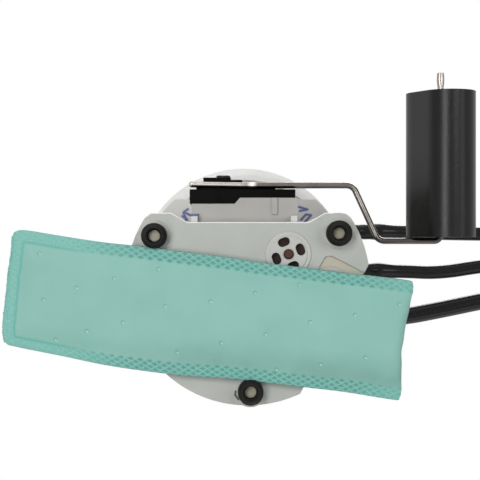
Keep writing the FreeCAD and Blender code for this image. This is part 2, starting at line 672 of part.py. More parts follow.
def make_pump():
    wall_in = d.pump_radius - d.pump_wall
    cover_top = pump_floor + d.inlet_cover_high
    impeller_low = cover_top + d.impeller_gap
    plate_low = impeller_low + d.impeller_thick + d.impeller_gap
    plate_top = plate_low + d.channel_plate
    shaft_low = cover_top - 3

    shell = turned("pump_shell", [
        (d.pump_radius - 2.6, shell_floor), (d.pump_radius - 0.6, shell_floor),
        (d.pump_radius, shell_floor + 0.6), (d.pump_radius, shell_top - 0.6),
        (d.pump_radius - 0.6, shell_top), (d.pump_radius - 2.6, shell_top),
        (d.pump_radius - 2.6, shell_top - d.pump_wall), (wall_in, shell_top - d.pump_wall),
        (wall_in, shell_floor + d.pump_wall), (d.pump_radius - 2.6, shell_floor + d.pump_wall)])
    place(shell, d.pump_x, d.pump_y, 0)

    neck = d.pump_radius - 2.6 - d.fit_gap
    snug = wall_in - d.fit_gap
    rim_low = shell_floor + d.pump_wall + d.fit_gap
    inlet = new_body("pump_inlet_cover")
    sketch = draw(inlet, "XZ_Plane")
    add_outline(sketch, [
        (0, pump_floor), (neck, pump_floor), (neck, rim_low), (snug, rim_low),
        (snug, plate_low - 0.05), (d.impeller_radius + d.impeller_gap, plate_low - 0.05),
        (d.impeller_radius + d.impeller_gap, cover_top), (d.shaft_radius + d.run_gap, cover_top),
        (d.shaft_radius + d.run_gap, shaft_low - 0.5), (0, shaft_low - 0.5)])
    revolve(inlet, sketch)
    eye = draw(inlet, "XY_Plane", z=pump_floor)
    add_circle(eye, d.inlet_offset - 1, 0, d.inlet_radius - 1)
    pocket(inlet, eye, d.inlet_cover_high + 1, down=False)
    place(inlet, d.pump_x, d.pump_y, 0)

    plate = new_body("pump_channel_plate")
    sketch = draw(plate, "XY_Plane", z=plate_low)
    add_circle(sketch, 0, 0, snug)
    add_circle(sketch, 0, 0, d.bush_radius)
    pad(plate, sketch, d.channel_plate)
    port = draw(plate, "XY_Plane", z=plate_low)
    add_circle(port, -d.inlet_offset + 1.5, 0, 2.2)
    pocket(plate, port, d.channel_plate, down=False)
    place(plate, d.pump_x, d.pump_y, 0)

    bush = turned("lower_bush", [
        (d.shaft_radius + d.run_gap, plate_low), (d.bush_radius - d.fit_gap, plate_low),
        (d.bush_radius - d.fit_gap, plate_low + d.bush_high),
        (d.shaft_radius + d.run_gap, plate_low + d.bush_high)])
    place(bush, d.pump_x, d.pump_y, 0)

    make_impeller(impeller_low)

    core_low = plate_top + 8
    core_top = core_low + d.core_high
    end_top = core_top + d.winding_high
    bars_low = end_top + 1
    bars_top = bars_low + d.commutator_high
    shaft_top = shell_top - 1
    armature = turned("armature", [
        (0, shaft_low), (d.shaft_radius, shaft_low), (d.shaft_radius, core_low - 6),
        (4, core_low - 6), (4, core_low - d.winding_high), (9, core_low - d.winding_high),
        (10.5, core_low), (d.core_radius, core_low), (d.core_radius, core_top), (10.5, core_top),
        (9, end_top), (4, end_top), (4, bars_low), (d.commutator_radius, bars_low),
        (d.commutator_radius, bars_top), (3, bars_top), (3, bars_top + 1),
        (d.shaft_radius, bars_top + 1), (d.shaft_radius, shaft_top), (0, shaft_top)])
    slots = draw(armature, "XY_Plane", z=core_low)
    add_outline(slots, [(9.6, -0.8), (d.core_radius + 1, -0.8), (d.core_radius + 1, 0.8), (9.6, 0.8)])
    groove = pocket(armature, slots, d.core_high, down=False)
    doc.recompute()
    repeat_round(armature, groove, slots, d.core_slots)
    place(armature, d.pump_x, d.pump_y, 0)

    magnet_low = core_low - (d.magnet_high - d.core_high) / 2
    magnets = []
    for turn in (0, 180):
        blank = new_body("Magnet", keep=False)
        sketch = draw(blank, "XZ_Plane")
        add_outline(sketch, [
            (d.magnet_inner, magnet_low), (wall_in - d.fit_gap, magnet_low),
            (wall_in - d.fit_gap, magnet_low + d.magnet_high),
            (d.magnet_inner, magnet_low + d.magnet_high)])
        item = revolve(blank, sketch)
        item.Midplane = True
        bind(item, "Angle", d.magnet_arc)
        blank.Placement = FreeCAD.Placement(Vector(0, 0, 0), FreeCAD.Rotation(Vector(0, 0, 1), turn))
        place(blank, d.pump_x, d.pump_y, 0)
        magnets.append(blank)
    group = doc.addObject("Part::Compound", "motor_magnets")
    group.Links = magnets
    keep_as("motor_magnets", group)

    brush_level = bars_low + (d.commutator_high - d.brush_size) / 2
    reach = d.commutator_radius + 0.1
    brushes = [
        boxed("Brush", d.pump_x + reach, d.pump_y - d.brush_size / 2, brush_level,
              d.brush_long, d.brush_size, d.brush_size),
        boxed("Brush", d.pump_x - reach - d.brush_long, d.pump_y - d.brush_size / 2, brush_level,
              d.brush_long, d.brush_size, d.brush_size)]
    group = doc.addObject("Part::Compound", "motor_brushes")
    group.Links = brushes
    keep_as("motor_brushes", group)

    make_outlet_cap(neck, snug, magnet_low + d.magnet_high)

    isolator_top = lid_top + 3
    isolator = turned("pump_isolator", [
        (d.pump_radius, isolator_top - d.isolator_high),
        (d.pump_radius + d.isolator_wall, isolator_top - d.isolator_high),
        (d.pump_radius + d.isolator_wall, lid_top + 0.1),
        (d.pump_radius + d.isolator_wall + 1.5, lid_top + 0.1),
        (d.pump_radius + d.isolator_wall + 1.5, isolator_top), (d.pump_radius, isolator_top)])
    place(isolator, d.pump_x, d.pump_y, 0)


def make_impeller(low):
    body = new_body("impeller")
    sketch = draw(body, "XY_Plane", z=low)
    add_circle(sketch, 0, 0, d.impeller_radius)
    add_circle(sketch, 0, 0, d.shaft_radius + d.fit_gap)
    pad(body, sketch, d.impeller_thick)
    slot = draw(body, "XY_Plane", z=low)
    inner = d.impeller_radius - d.blade_long
    half = d.blade_slot / 2
    add_outline(slot, [(inner, -half), (d.impeller_radius + 1, -half),
                       (d.impeller_radius + 1, half), (inner, half)])
    gap = pocket(body, slot, d.impeller_thick, down=False)
    doc.recompute()
    repeat_round(body, gap, slot, d.blade_count)
    place(body, d.pump_x, d.pump_y, 0)


def make_outlet_cap(neck, snug, magnet_top):
    # The end cap closes the shell and carries the outlet nipple
    inside_low = magnet_top + 0.5
    rim_top = shell_top - d.pump_wall - d.fit_gap
    body = new_body("pump_outlet_cap")
    sketch = draw(body, "XZ_Plane")
    nipple = d.nipple_radius
    add_outline(sketch, [
        (d.shaft_radius + d.run_gap, rim_top - 4), (snug - 2, rim_top - 4), (snug - 2, inside_low),
        (snug, inside_low), (snug, rim_top), (neck, rim_top), (neck, cap_top - 2),
        (neck - 2, cap_top), (nipple, cap_top), (nipple, nipple_top - 1),
        (nipple - 1, nipple_top), (d.nipple_bore, nipple_top), (d.nipple_bore, shell_top),
        (d.shaft_radius + d.run_gap, shell_top)])
    revolve(body, sketch)
    place(body, d.pump_x, d.pump_y, 0)


# Tubes between flange and reservoir

def make_feed_tube():
    # A convoluted tube with a plain cuff on the pump nipple and one on the flange spout
    low = cap_top + 0.3
    high = d.deck_rise - 0.2
    folds = int(d.feed_folds.value)
    inner = d.nipple_radius + d.fit_gap
    cuff = inner + d.feed_tube_wall
    first = low + d.feed_cuff
    last = high - d.feed_cuff
    pitch = (last - first) / d.feed_folds
    outside = [(cuff, low), (cuff, first)]
    for fold in range(folds):
        foot = first + pitch * fold
        outside.append((d.feed_tube_radius, foot + pitch * 0.3))
        outside.append((d.feed_tube_radius, foot + pitch * 0.6))
        outside.append((d.feed_tube_root, foot + pitch * 0.9))
    outside += [(cuff, last), (cuff, high)]
    tube = turned("feed_tube", outside + [(inner, high), (inner, low)])
    place(tube, d.pump_x, d.pump_y, 0)


def make_drop_tube():
    tube = turned("return_tube", [
        (d.drop_tube_bore, -d.drop_tube_long), (d.drop_tube_radius, -d.drop_tube_long),
        (d.drop_tube_radius, d.deck_rise - 0.2), (d.drop_tube_bore, d.deck_rise - 0.2)])
    place(tube, d.return_riser_x, d.return_y, 0)


# Level sensor

def make_sensor():
    inset = d.lip
    front_wall = d.chord_front - inset
    bracket_low = base_top + d.bracket_lift
    body = new_body("sensor_bracket")
    sketch = draw(body, "XY_Plane")
    thick_back = d.sensor_back_thick - 0.05
    thin_back = d.sensor_back_thin - 0.05
    step = d.sensor_step + d.sensor_slope
    plan = [(d.bracket_left, -front_wall), (d.bracket_left, -thick_back),
            (d.sensor_step, -thick_back), (step, -thin_back),
            (d.bracket_right, -thin_back), (d.bracket_right, -front_wall)]
    add_outline(sketch, plan)
    pad(body, sketch, d.bracket_high)
    wall = d.bracket_wall
    hollow = draw(body, "XY_Plane", z=d.bracket_high)
    add_outline(hollow, [
        (d.bracket_left + wall, -front_wall - wall), (d.bracket_left + wall, -thick_back + wall),
        (d.sensor_step + 1, -thick_back + wall), (step + 1, -thin_back + wall),
        (d.bracket_right - wall, -thin_back + wall), (d.bracket_right - wall, -front_wall - wall)])
    pocket(body, hollow, d.bracket_high - wall)
    rib = draw(body, "XY_Plane")
    half = d.rib_wide / 2
    add_outline(rib, [
        (d.rib_x - half, -d.rib_end), (d.rib_x - half, -thin_back),
        (d.rib_x + half, -thin_back), (d.rib_x + half, -d.rib_end)])
    pad(body, rib, d.rib_drop, down=True)
    place(body, 0, -0.05, bracket_low)

    housing_low = base_top + d.sensor_lift
    plan = [(d.sensor_left, -d.sensor_back_thick), (d.sensor_left, -d.sensor_front),
            (d.sensor_right, -d.sensor_front), (d.sensor_right, -d.sensor_back_thin),
            (step, -d.sensor_back_thin), (d.sensor_step, -d.sensor_back_thick)]
    housing = new_body("sensor_housing")
    sketch = draw(housing, "XY_Plane")
    add_outline(sketch, plan)
    pad(housing, sketch, d.sensor_high)
    seat = draw(housing, "XZ_Plane", z=d.sensor_front)
    add_outline(seat, [
        (d.card_x - 0.1, d.card_lift - 0.1), (d.card_x + d.card_width + 0.1, d.card_lift - 0.1),
        (d.card_x + d.card_width + 0.1, d.card_lift + d.card_high + 0.1),
        (d.card_x - 0.1, d.card_lift + d.card_high + 0.1)])
    pocket(housing, seat, d.card_thick + d.card_sink)
    pin_way = draw(housing, "XZ_Plane", z=d.sensor_front)
    add_circle(pin_way, d.pivot_x, pivot_level - housing_low, d.pin_radius + d.fit_gap)
    pocket(housing, pin_way, d.sensor_front - d.sensor_back_thick)
    place(housing, 0, -0.05, housing_low)

    boxed_card = boxed("resistor_card", d.card_x, d.card_sink - d.sensor_front - 0.1,
                       housing_low + d.card_lift, d.card_width, d.card_thick, d.card_high)
    keep_as("resistor_card", boxed_card)

    pin = turned("pivot_pin", [
        (0, d.sensor_back_thick + 0.2), (d.pin_radius, d.sensor_back_thick + 0.2),
        (d.pin_radius, d.carrier_front + 0.3), (d.pin_head, d.carrier_front + 0.3),
        (d.pin_head, d.carrier_front + 0.3 + d.pin_head_high),
        (0, d.carrier_front + 0.3 + d.pin_head_high)])
    pin.Placement = FreeCAD.Placement(Vector(0, 0, 0), FreeCAD.Rotation(Vector(1, 0, 0), 90))
    place(pin, d.pivot_x, 0, pivot_level)


# Float arm

def arm_points():
    level = wire_level
    return [
        (d.tail_x, -d.wire_front - d.kink_step, level), (d.kink_x, -d.wire_front, level),
        (d.bend_one_x, -d.wire_front, level), (d.bend_two_x, -d.wire_back, level),
        (d.float_axis_x, -d.wire_back, level),
        (d.float_axis_x, d.stake_long - d.wire_tip, level)]


def bent_path(points, radii):
    # Straight runs joined by tangent arcs; radii has one value for each inner point
    corners = [Vector(*[as_size(value).value for value in point]) for point in points]
    edges = []
    start = corners[0]
    for index in range(1, len(corners) - 1):
        before = (corners[index - 1] - corners[index]).normalize()
        after = (corners[index + 1] - corners[index]).normalize()
        turn = math.pi - before.getAngle(after)
        radius = radii[index - 1]
        reach = radius * math.tan(turn / 2)
        enter = corners[index] + before * reach
        leave = corners[index] + after * reach
        centre_way = (before + after).normalize()
        centre = corners[index] + centre_way * (radius / math.cos(turn / 2))
        middle = centre - centre_way * radius
        edges.append(Part.LineSegment(start, enter).toShape())
        edges.append(Part.Arc(enter, middle, leave).toShape())
        start = leave
    edges.append(Part.LineSegment(start, corners[-1]).toShape())
    return Part.Wire(edges)


def tube_along(path, radius):
    # A round bar swept along a path
    start = path.Edges[0].valueAt(path.Edges[0].FirstParameter)
    way = path.Edges[0].tangentAt(path.Edges[0].FirstParameter)
    section = Part.Face(Part.Wire(Part.makeCircle(radius, start, way)))
    return path.makePipe(section)


def add_shape(name, shape):
    item = doc.addObject("Part::Feature", name)
    item.Shape = shape
    keep_as(name, item)
    return item


def staked_end():
    # The end of the wire is pressed flat so that the float stays on
    stand = FreeCAD.Rotation(Vector(1, 0, 0), 90)
    rings = []
    for back, wide, thick in ((d.stake_long, d.wire_radius, d.wire_radius),
                              (d.stake_long * 0.4, d.stake_wide, d.stake_thick),
                              (as_size(0), d.stake_wide * 0.85, d.stake_thick)):
        ring = Part.Ellipse(Vector(0, 0, 0), wide.value, thick.value).toShape()
        place = Vector(d.float_axis_x.value, (back - d.wire_tip).value, wire_level.value)
        ring.Placement = FreeCAD.Placement(place, stand)
        rings.append(Part.Wire(ring))
    return Part.makeLoft(rings, True)


def make_arm():
    bends = [d.kink_bend, d.bend_radius, d.bend_radius, d.end_bend]
    path = bent_path(arm_points(), [bend.value for bend in bends])
    tail = Part.makeSphere(d.wire_radius.value, path.Edges[0].valueAt(path.Edges[0].FirstParameter))
    wire = tube_along(path, d.wire_radius.value).fuse([tail, staked_end()])
    add_shape("float_wire", wire.removeSplitter())

    # The carrier is a hub on the pivot; the wire snaps into a groove under its block
    carrier_back = d.sensor_front + d.carrier_gap
    deep = d.carrier_front - carrier_back
    hub = doc.addObject("Part::Cylinder", "Hub")
    bind(hub, "Radius", d.hub_radius)
    bind(hub, "Height", deep * 0.6)
    hub.Placement = FreeCAD.Placement(Vector(0, 0, 0), FreeCAD.Rotation(Vector(1, 0, 0), 90))
    place(hub, d.pivot_x, -carrier_back, pivot_level)
    block = boxed("ClipBlock", d.clip_x, -d.carrier_front, wire_level, d.clip_long, deep,
                  d.clip_high)
    finger_front = d.wire_front + d.wire_radius + d.clip_finger_wide
    finger = boxed("ClipFinger", d.clip_x + d.clip_long - 1, -finger_front, wire_level,
                   d.clip_finger + 1, d.clip_finger_wide, d.clip_high / 2)
    plate = boxed("CarrierPlate", d.plate_left, -carrier_back - d.plate_thick,
                  wire_level + d.plate_low, d.plate_right - d.plate_left, d.plate_thick,
                  d.plate_high)
    pin_way = doc.addObject("Part::Cylinder", "PinWay")
    bind(pin_way, "Radius", d.pin_radius + d.run_gap)
    bind(pin_way, "Height", deep + 2)
    pin_way.Placement = FreeCAD.Placement(Vector(0, 0, 0), FreeCAD.Rotation(Vector(1, 0, 0), 90))
    place(pin_way, d.pivot_x, -carrier_back + 1, pivot_level)
    wire_way = doc.addObject("Part::Feature", "WireWay")
    wire_way.Shape = tube_along(path, (d.wire_radius + d.fit_gap).value)
    solid = joined("CarrierSolid", [hub, block, finger, plate])
    keep_as("arm_carrier", cut("arm_carrier", solid, joined("CarrierWays", [pin_way, wire_way])))

    wiper = doc.addObject("Part::Box", "WiperBlade")
    bind(wiper, "Length", d.wiper_long - d.hub_radius + 2)
    bind(wiper, "Width", d.wiper_thick)
    bind(wiper, "Height", d.wiper_wide)
    aim = FreeCAD.Rotation(Vector(0, 1, 0), -d.wiper_angle.value)
    pivot = Vector(d.pivot_x.value, 0, pivot_level.value)
    start = pivot + aim.multVec(Vector(d.hub_radius.value, 0, -d.wiper_wide.value / 2))
    start.y = -(carrier_back + d.wiper_thick).value
    wiper.Placement = FreeCAD.Placement(start, aim)
    keep_as("wiper_contact", wiper)


def make_float():
    # A slab with full round edges, tilted about the wire that runs through its middle
    body = new_body("float")
    sketch = draw(body, "XY_Plane")
    add_slot(sketch, 0, 0, (d.float_long - d.float_thick) / 2, d.float_thick / 2)
    pad(body, sketch, d.float_high)
    hole = draw(body, "XY_Plane")
    add_circle(hole, 0, 0, d.wire_radius + d.run_gap)
    pocket(body, hole, d.float_high, down=False)
    mouth = draw(body, "XY_Plane")
    add_circle(mouth, 0, 0, d.float_sink_radius)
    pocket(body, mouth, d.float_sink, down=False)
    stand = FreeCAD.Rotation(Vector(1, 0, 0), 90)
    lean = FreeCAD.Rotation(Vector(0, 1, 0), 90 - d.float_tilt.value)
    body.Placement = FreeCAD.Placement(Vector(0, 0, 0), lean.multiply(stand))
    place(body, d.float_axis_x, -d.float_near, wire_level)


# Hoses: the route points are chosen by hand, and each arc is as large as its runs allow

hose_routes = {
    "vapour": [(70, -25.8, 16.0), (100, -25.8, 16.0), (134, -24.6, 14.6), (170, -24.4, 11.4),
               (206, -27.0, 9.0), (236, -27.0, 9.0)],
    "feed": [(70, -1.2, 16.0), (98, -1.2, 16.0), (123, 0.2, 15.0), (152, -4.8, 12.8),
             (184, -7.4, 9.8), (214, -7.4, 9.8)],
    "return": [(70, 28.6, 16.0), (96, 28.6, 16.0), (124, 23.2, 14.8), (157, 16.0, 12.6),
               (190, 11.6, 10.0), (222, 11.6, 10.0)],
}


def arc_radii(route):
    points = [Vector(*point) for point in route]
    radii = []
    for before, here, after in zip(points, points[1:], points[2:]):
        turn = (here - before).getAngle(after - here)
        shorter = min((here - before).Length, (after - here).Length)
        radii.append(0.45 * shorter / math.tan(turn / 2))
    return radii


def make_hose(name, radius):
    route = hose_routes[name]
    radii = arc_radii(route)
    path = bent_path(route, radii)
    solid = tube_along(path, radius.value)
    socket_start = Vector(*route[0])
    way = (Vector(*route[1]) - socket_start).normalize()
    bore = (radius - d.hose_wall + d.fit_gap).value
    socket = Part.makeCylinder(bore, d.barb_grip.value + 1, socket_start, way)
    solid = solid.cut(socket)
    add_shape(f"{name}_hose", solid)
    expected = math.pi * radius.value ** 2 * path.Length
    print(name, "length", round(path.Length, 1), "radii", [round(value) for value in radii],
          "volume", round(solid.Volume + socket.Volume), "of", round(expected))
    make_coupler(name, route)


def make_coupler(name, route):
    # A quick connector pressed on the far end of the hose, with its socket facing out
    end = Vector(*route[-1])
    way = (end - Vector(*route[-2])).normalize()
    body = turned(f"{name}_coupler", [
        (0, 0.05), (d.coupler_neck, 0.05), (d.coupler_neck, 8), (d.coupler_body, 10),
        (d.coupler_body, d.coupler_long - 8), (d.coupler_ring, d.coupler_long - 7),
        (d.coupler_ring, d.coupler_long - 2), (d.coupler_body, d.coupler_long),
        (d.coupler_bore, d.coupler_long), (d.coupler_bore, d.coupler_long - d.coupler_bore_long),
        (0, d.coupler_long - d.coupler_bore_long)])
    turn = FreeCAD.Rotation(Vector(0, 0, 1), way)
    body.Placement = FreeCAD.Placement(end, turn)


def build():
    make_flange()
    make_port("feed_port", d.feed_riser_x, d.feed_y, d.feed_hose)
    make_port("return_port", d.return_riser_x, d.return_y, d.return_hose)
    make_port("vapour_port", d.vapour_riser_x, d.vapour_y, d.vapour_hose)
    make_connector()
    make_vent_valve()
    make_rods()
    make_springs()
    make_bucket()
    make_lid()
    make_base()
    make_feet()
    make_inlet_valve()
    make_strainer()
    make_pump()
    make_feed_tube()
    make_drop_tube()
    make_sensor()
    make_arm()
    make_float()
    make_hose("feed", d.feed_hose)
    make_hose("return", d.return_hose)
    make_hose("vapour", d.vapour_hose)
    doc.recompute()


def check():
    faults = []
    for item in doc.Objects:
        if "Invalid" in item.State or "Error" in item.State:
            faults.append(f"{item.Name} {item.State}")
    for name, item in nodes.items():
        if item.Shape.isNull() or not item.Shape.isValid():
            faults.append(f"{name} has no valid shape")
        elif not item.Shape.Solids:
            faults.append(f"{name} has no solid")
    if faults:
        raise RuntimeError("; ".join(faults))


build()
check()
os.makedirs("parts", exist_ok=True)
for name, item in nodes.items():
    item.Shape.exportStep(f"parts/{name}.step")
print(len(nodes), "nodes")
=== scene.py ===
import math
from functools import partial, reduce

import bpy
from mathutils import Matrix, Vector, noise


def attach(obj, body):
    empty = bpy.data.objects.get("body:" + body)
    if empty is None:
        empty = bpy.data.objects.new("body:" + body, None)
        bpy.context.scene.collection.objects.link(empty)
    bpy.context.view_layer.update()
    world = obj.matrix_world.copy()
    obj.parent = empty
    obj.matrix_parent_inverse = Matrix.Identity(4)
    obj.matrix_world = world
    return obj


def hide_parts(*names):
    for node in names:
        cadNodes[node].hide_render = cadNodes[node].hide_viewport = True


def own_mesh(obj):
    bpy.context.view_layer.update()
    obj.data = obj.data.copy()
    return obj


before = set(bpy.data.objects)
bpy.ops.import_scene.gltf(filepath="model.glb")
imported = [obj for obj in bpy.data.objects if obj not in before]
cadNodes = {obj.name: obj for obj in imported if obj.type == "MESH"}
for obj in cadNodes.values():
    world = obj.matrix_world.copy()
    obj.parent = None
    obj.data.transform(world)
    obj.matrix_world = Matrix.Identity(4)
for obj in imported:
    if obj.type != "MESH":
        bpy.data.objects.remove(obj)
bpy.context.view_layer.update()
scene = bpy.context.scene
print("frame loaded")


def addObject(name, data):
    item = bpy.data.objects.new(name, data)
    scene.collection.objects.link(item)
    return item


# the camera looks up at the module from under its feet
photoCamera = {"lens": 100.9, "place": (-0.009, -0.0206, -0.830), "turn": (math.pi, 0, 0), "shiftX": 0.0229}
cameraData = bpy.data.cameras.new("photoCamera")
cameraData.lens = photoCamera["lens"]
cameraData.sensor_width = 36
cameraData.shift_x = photoCamera["shiftX"]
cameraData.clip_start, cameraData.clip_end = 0.01, 20
cameraObject = addObject("photoCamera", cameraData)
cameraObject.location = photoCamera["place"]
cameraObject.rotation_euler = photoCamera["turn"]
scene.camera = cameraObject
print("camera placed")


def meshPiece(name, points, faces, edges=(), smooth=True):
    mesh = bpy.data.meshes.new(name)
    mesh.from_pydata([tuple(p) for p in points], edges, faces)
    mesh.update()
    mesh.shade_smooth() if smooth else mesh.shade_flat()
    return addObject(name, mesh)


def plainMesh(holder):
    # the shape of an object with its modifiers applied, as a new mesh
    bpy.context.view_layer.update()
    return bpy.data.meshes.new_from_object(holder.evaluated_get(bpy.context.evaluated_depsgraph_get()))


def ringFaces(count, sides):
    # the quads between rings of points, and a face across each end
    faces = []
    for i in range(count - 1):
        for k in range(sides):
            a, b = i * sides + k, i * sides + (k + 1) % sides
            faces.append((a, b, b + sides, a + sides))
    return faces + [tuple(reversed(range(sides))), tuple(range((count - 1) * sides, count * sides))]


def linePoints(name, route):
    # the points along a route's own smooth curve
    curve = bpy.data.curves.new(name, "CURVE")
    curve.dimensions = "3D"
    curve.resolution_u = 24
    spline = curve.splines.new("NURBS")
    spline.points.add(len(route) - 1)
    for point, place in zip(spline.points, route):
        point.co = (*place, 1)
    spline.order_u = 3
    spline.use_endpoint_u = True
    helper = addObject(name, curve)
    line = plainMesh(helper)
    points = [v.co.copy() for v in line.vertices]
    bpy.data.objects.remove(helper)
    bpy.data.meshes.remove(line)
    return points


def runLengths(points):
    # how far along the line each point lies
    lengths = [0.0]
    for a, b in zip(points, points[1:]):
        lengths.append(lengths[-1] + (b - a).length)
    return lengths


def evenPoints(points, step):
    # the same line with points an even step apart
    lengths = runLengths(points)
    count = max(2, round(lengths[-1] / step))
    found, spot = [], 0
    for i in range(count + 1):
        wanted = lengths[-1] * i / count
        while spot < len(points) - 2 and lengths[spot + 1] < wanted:
            spot += 1
        share = (wanted - lengths[spot]) / max(lengths[spot + 1] - lengths[spot], 1e-9)
        found.append(points[spot].lerp(points[spot + 1], share))
    return found, lengths[-1]


# fuel lines: each is pushed over a barbed port, which shows as a swelling in the line
hoses = {
    "vapour": {"exit": (0.070, -0.0258, 0.016), "diameter": 0.0088,
               "route": [(0.070, -0.0258, 0.016), (0.100, -0.0258, 0.016), (0.134, -0.0246, 0.0146),
                         (0.170, -0.0244, 0.0114), (0.206, -0.0270, 0.0090), (0.236, -0.0270, 0.0090)]},
    "feed": {"exit": (0.070, -0.0012, 0.016), "diameter": 0.0086,
             "route": [(0.070, -0.0012, 0.016), (0.098, -0.0012, 0.016), (0.123, 0.0002, 0.0150),
                       (0.152, -0.0048, 0.0128), (0.184, -0.0074, 0.0098), (0.214, -0.0074, 0.0098)]},
    "return": {"exit": (0.070, 0.0286, 0.016), "diameter": 0.0106,
               "route": [(0.070, 0.0286, 0.016), (0.096, 0.0286, 0.016), (0.124, 0.0232, 0.0148),
                         (0.157, 0.0160, 0.0126), (0.190, 0.0116, 0.0100), (0.222, 0.0116, 0.0100)]},
}
hoseLook = {"step": 0.0008, "sides": 40, "swellings": [(0.0060, 0.0004, 0.0030), (0.0160, 0.0010, 0.0062)],
            "endRound": 0.0006, "wall": 0.0012, "mouthDeep": 0.004}


def sweptTube(name, points, radiusAt):
    # rings carried along the points without twist, with a blind mouth at the first end
    sides = hoseLook["sides"]
    side = Vector((0, 0, 1))
    travelled = 0.0
    rings = []
    for i, point in enumerate(points):
        ahead = (points[min(i + 1, len(points) - 1)] - points[max(i - 1, 0)]).normalized()
        side = (side - ahead * side.dot(ahead)).normalized()
        if i:
            travelled += (point - points[i - 1]).length
        rings.append((point, side.copy(), ahead.cross(side), radiusAt(travelled), travelled))
    place, across, other, radius, along = rings[0]
    inward = (points[1] - points[0]).normalized()
    mouth = [(place + inward * deep, across, other, radius - hoseLook["wall"], 0)
             for deep in (hoseLook["mouthDeep"], 0)]
    rings = mouth + rings
    verts, lengthsAlong = [], []
    for point, across, other, radius, along in rings:
        for k in range(sides):
            turn = 2 * math.pi * k / sides
            verts.append(point + across * (radius * math.cos(turn)) + other * (radius * math.sin(turn)))
            lengthsAlong.append(along)
    tube = meshPiece(name, verts, ringFaces(len(rings), sides))
    layer = tube.data.uv_layers.new(name="alongHose")
    for face in tube.data.polygons:
        corners = [tube.data.loops[i].vertex_index for i in face.loop_indices]
        turns = [corner % sides for corner in corners]
        wrapped = len(turns) == 4 and max(turns) - min(turns) > 1
        for i, corner, k in zip(face.loop_indices, corners, turns):
            layer.data[i].uv = ((k or (sides if wrapped else 0)) / sides, lengthsAlong[corner])
    return tube


def hoseRadius(radius, whole):
    def at(travelled):
        swollen = radius
        for place, height, width in hoseLook["swellings"]:
            swollen += height * math.exp(-((travelled - place) / width) ** 2)
        nearEnd = min(travelled, whole - travelled)
        if nearEnd < hoseLook["endRound"]:
            swollen -= (hoseLook["endRound"] - nearEnd) * 0.5
        return swollen
    return at


hosePieces = []
for name, hose in hoses.items():
    points, whole = evenPoints(linePoints(f"{name}Line", hose["route"]), hoseLook["step"])
    piece = sweptTube(f"{name}Hose", points, hoseRadius(hose["diameter"] / 2, whole))
    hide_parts(f"{name}_hose")
    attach(piece, "flange")
    hosePieces.append(piece)
    print("hose", name, "is", round(whole * 1000, 1), "mm long")


def newGroup(name, inputs, outputs, kind="ShaderNodeTree"):
    # a node group, what comes into it, its output node, and its inputs' identifiers
    group = bpy.data.node_groups.new(name, kind)
    names = {}
    for label, dataKind, value in inputs:
        socket = group.interface.new_socket(label, in_out="INPUT", socket_type=f"NodeSocket{dataKind}")
        if value is not None:
            socket.default_value = value
        names[label] = socket.identifier
    for label, dataKind in outputs:
        group.interface.new_socket(label, in_out="OUTPUT", socket_type=f"NodeSocket{dataKind}")
    return group, group.nodes.new("NodeGroupInput").outputs, group.nodes.new("NodeGroupOutput"), names


def setInputs(node, values):
    # each value is a socket to link, or a plain value to set
    for key, value in values.items():
        socket = node.inputs[key]
        if isinstance(value, bpy.types.NodeSocket):
            node.id_data.links.new(value, socket)
        elif socket.type == "RGBA":
            socket.default_value = (*value[:3], 1)
        else:
            socket.default_value = value


def addNode(tree, kind, values=None, **settings):
    node = tree.nodes.new(kind)
    for key, value in settings.items():
        setattr(node, key, value)
    setInputs(node, values or {})
    return node


def useGroup(tree, group, values):
    return addNode(tree, "ShaderNodeGroup", values, node_tree=group).outputs


def nodeSum(tree, operation, *terms, clamp=False):
    # one sum; each term is a socket or a number
    values = dict(enumerate(terms))
    return addNode(tree, "ShaderNodeMath", values, operation=operation, use_clamp=clamp).outputs[0]


def ramp(tree, socket, slope, start):
    # a straight rise, held between 0 and 1
    return nodeSum(tree, "MULTIPLY_ADD", socket, slope, start, clamp=True)


def vectorSum(tree, operation, first, second):
    node = addNode(tree, "ShaderNodeVectorMath", {0: first, 1: second}, operation=operation)
    return node.outputs["Value" if operation in ("DISTANCE", "DOT_PRODUCT") else "Vector"]


def mixColour(tree, share, first, second):
    return addNode(tree, "ShaderNodeMix", {0: share, 6: first, 7: second}, data_type="RGBA").outputs[2]


def noiseAt(tree, place, scale, detail, roughness=0.5):
    return addNode(tree, "ShaderNodeTexNoise", {"Vector": place, "Scale": scale, "Detail": detail,
                                                "Roughness": roughness}).outputs[0]


def split(tree, socket):
    return addNode(tree, "ShaderNodeSeparateXYZ", {0: socket}).outputs


def faceNormal(tree):
    return addNode(tree, "ShaderNodeNewGeometry").outputs["Normal"]


# moulded plastic: drifting tone, fine skin and faint rub marks
skinGroup, ins, outs, names = newGroup("mouldedSkin", [
    ("Vector", "Vector", None), ("Colour", "Color", None), ("Cloud Colour", "Color", None),
    ("Cloud Scale", "Float", 60.0), ("Grain Scale", "Float", 1500.0), ("Roughness", "Float", 0.45),
    ("Rubbed", "Float", 0.08)], [("Colour", "Color"), ("Roughness", "Float"), ("Height", "Float")])
calc = partial(nodeSum, skinGroup)
cloud = noiseAt(skinGroup, ins["Vector"], ins["Cloud Scale"], 3.0)
grain = noiseAt(skinGroup, ins["Vector"], ins["Grain Scale"], 2.0)
stretch = addNode(skinGroup, "ShaderNodeMapping", {"Vector": ins["Vector"], "Scale": (1.0, 1.0, 6.0),
                                                   "Rotation": (0.4, 0.2, 0.7)})
rub = noiseAt(skinGroup, stretch.outputs[0], 170.0, 4.0, 0.7)
spread = calc("MULTIPLY", calc("SUBTRACT", rub, 0.5), ins["Rubbed"])
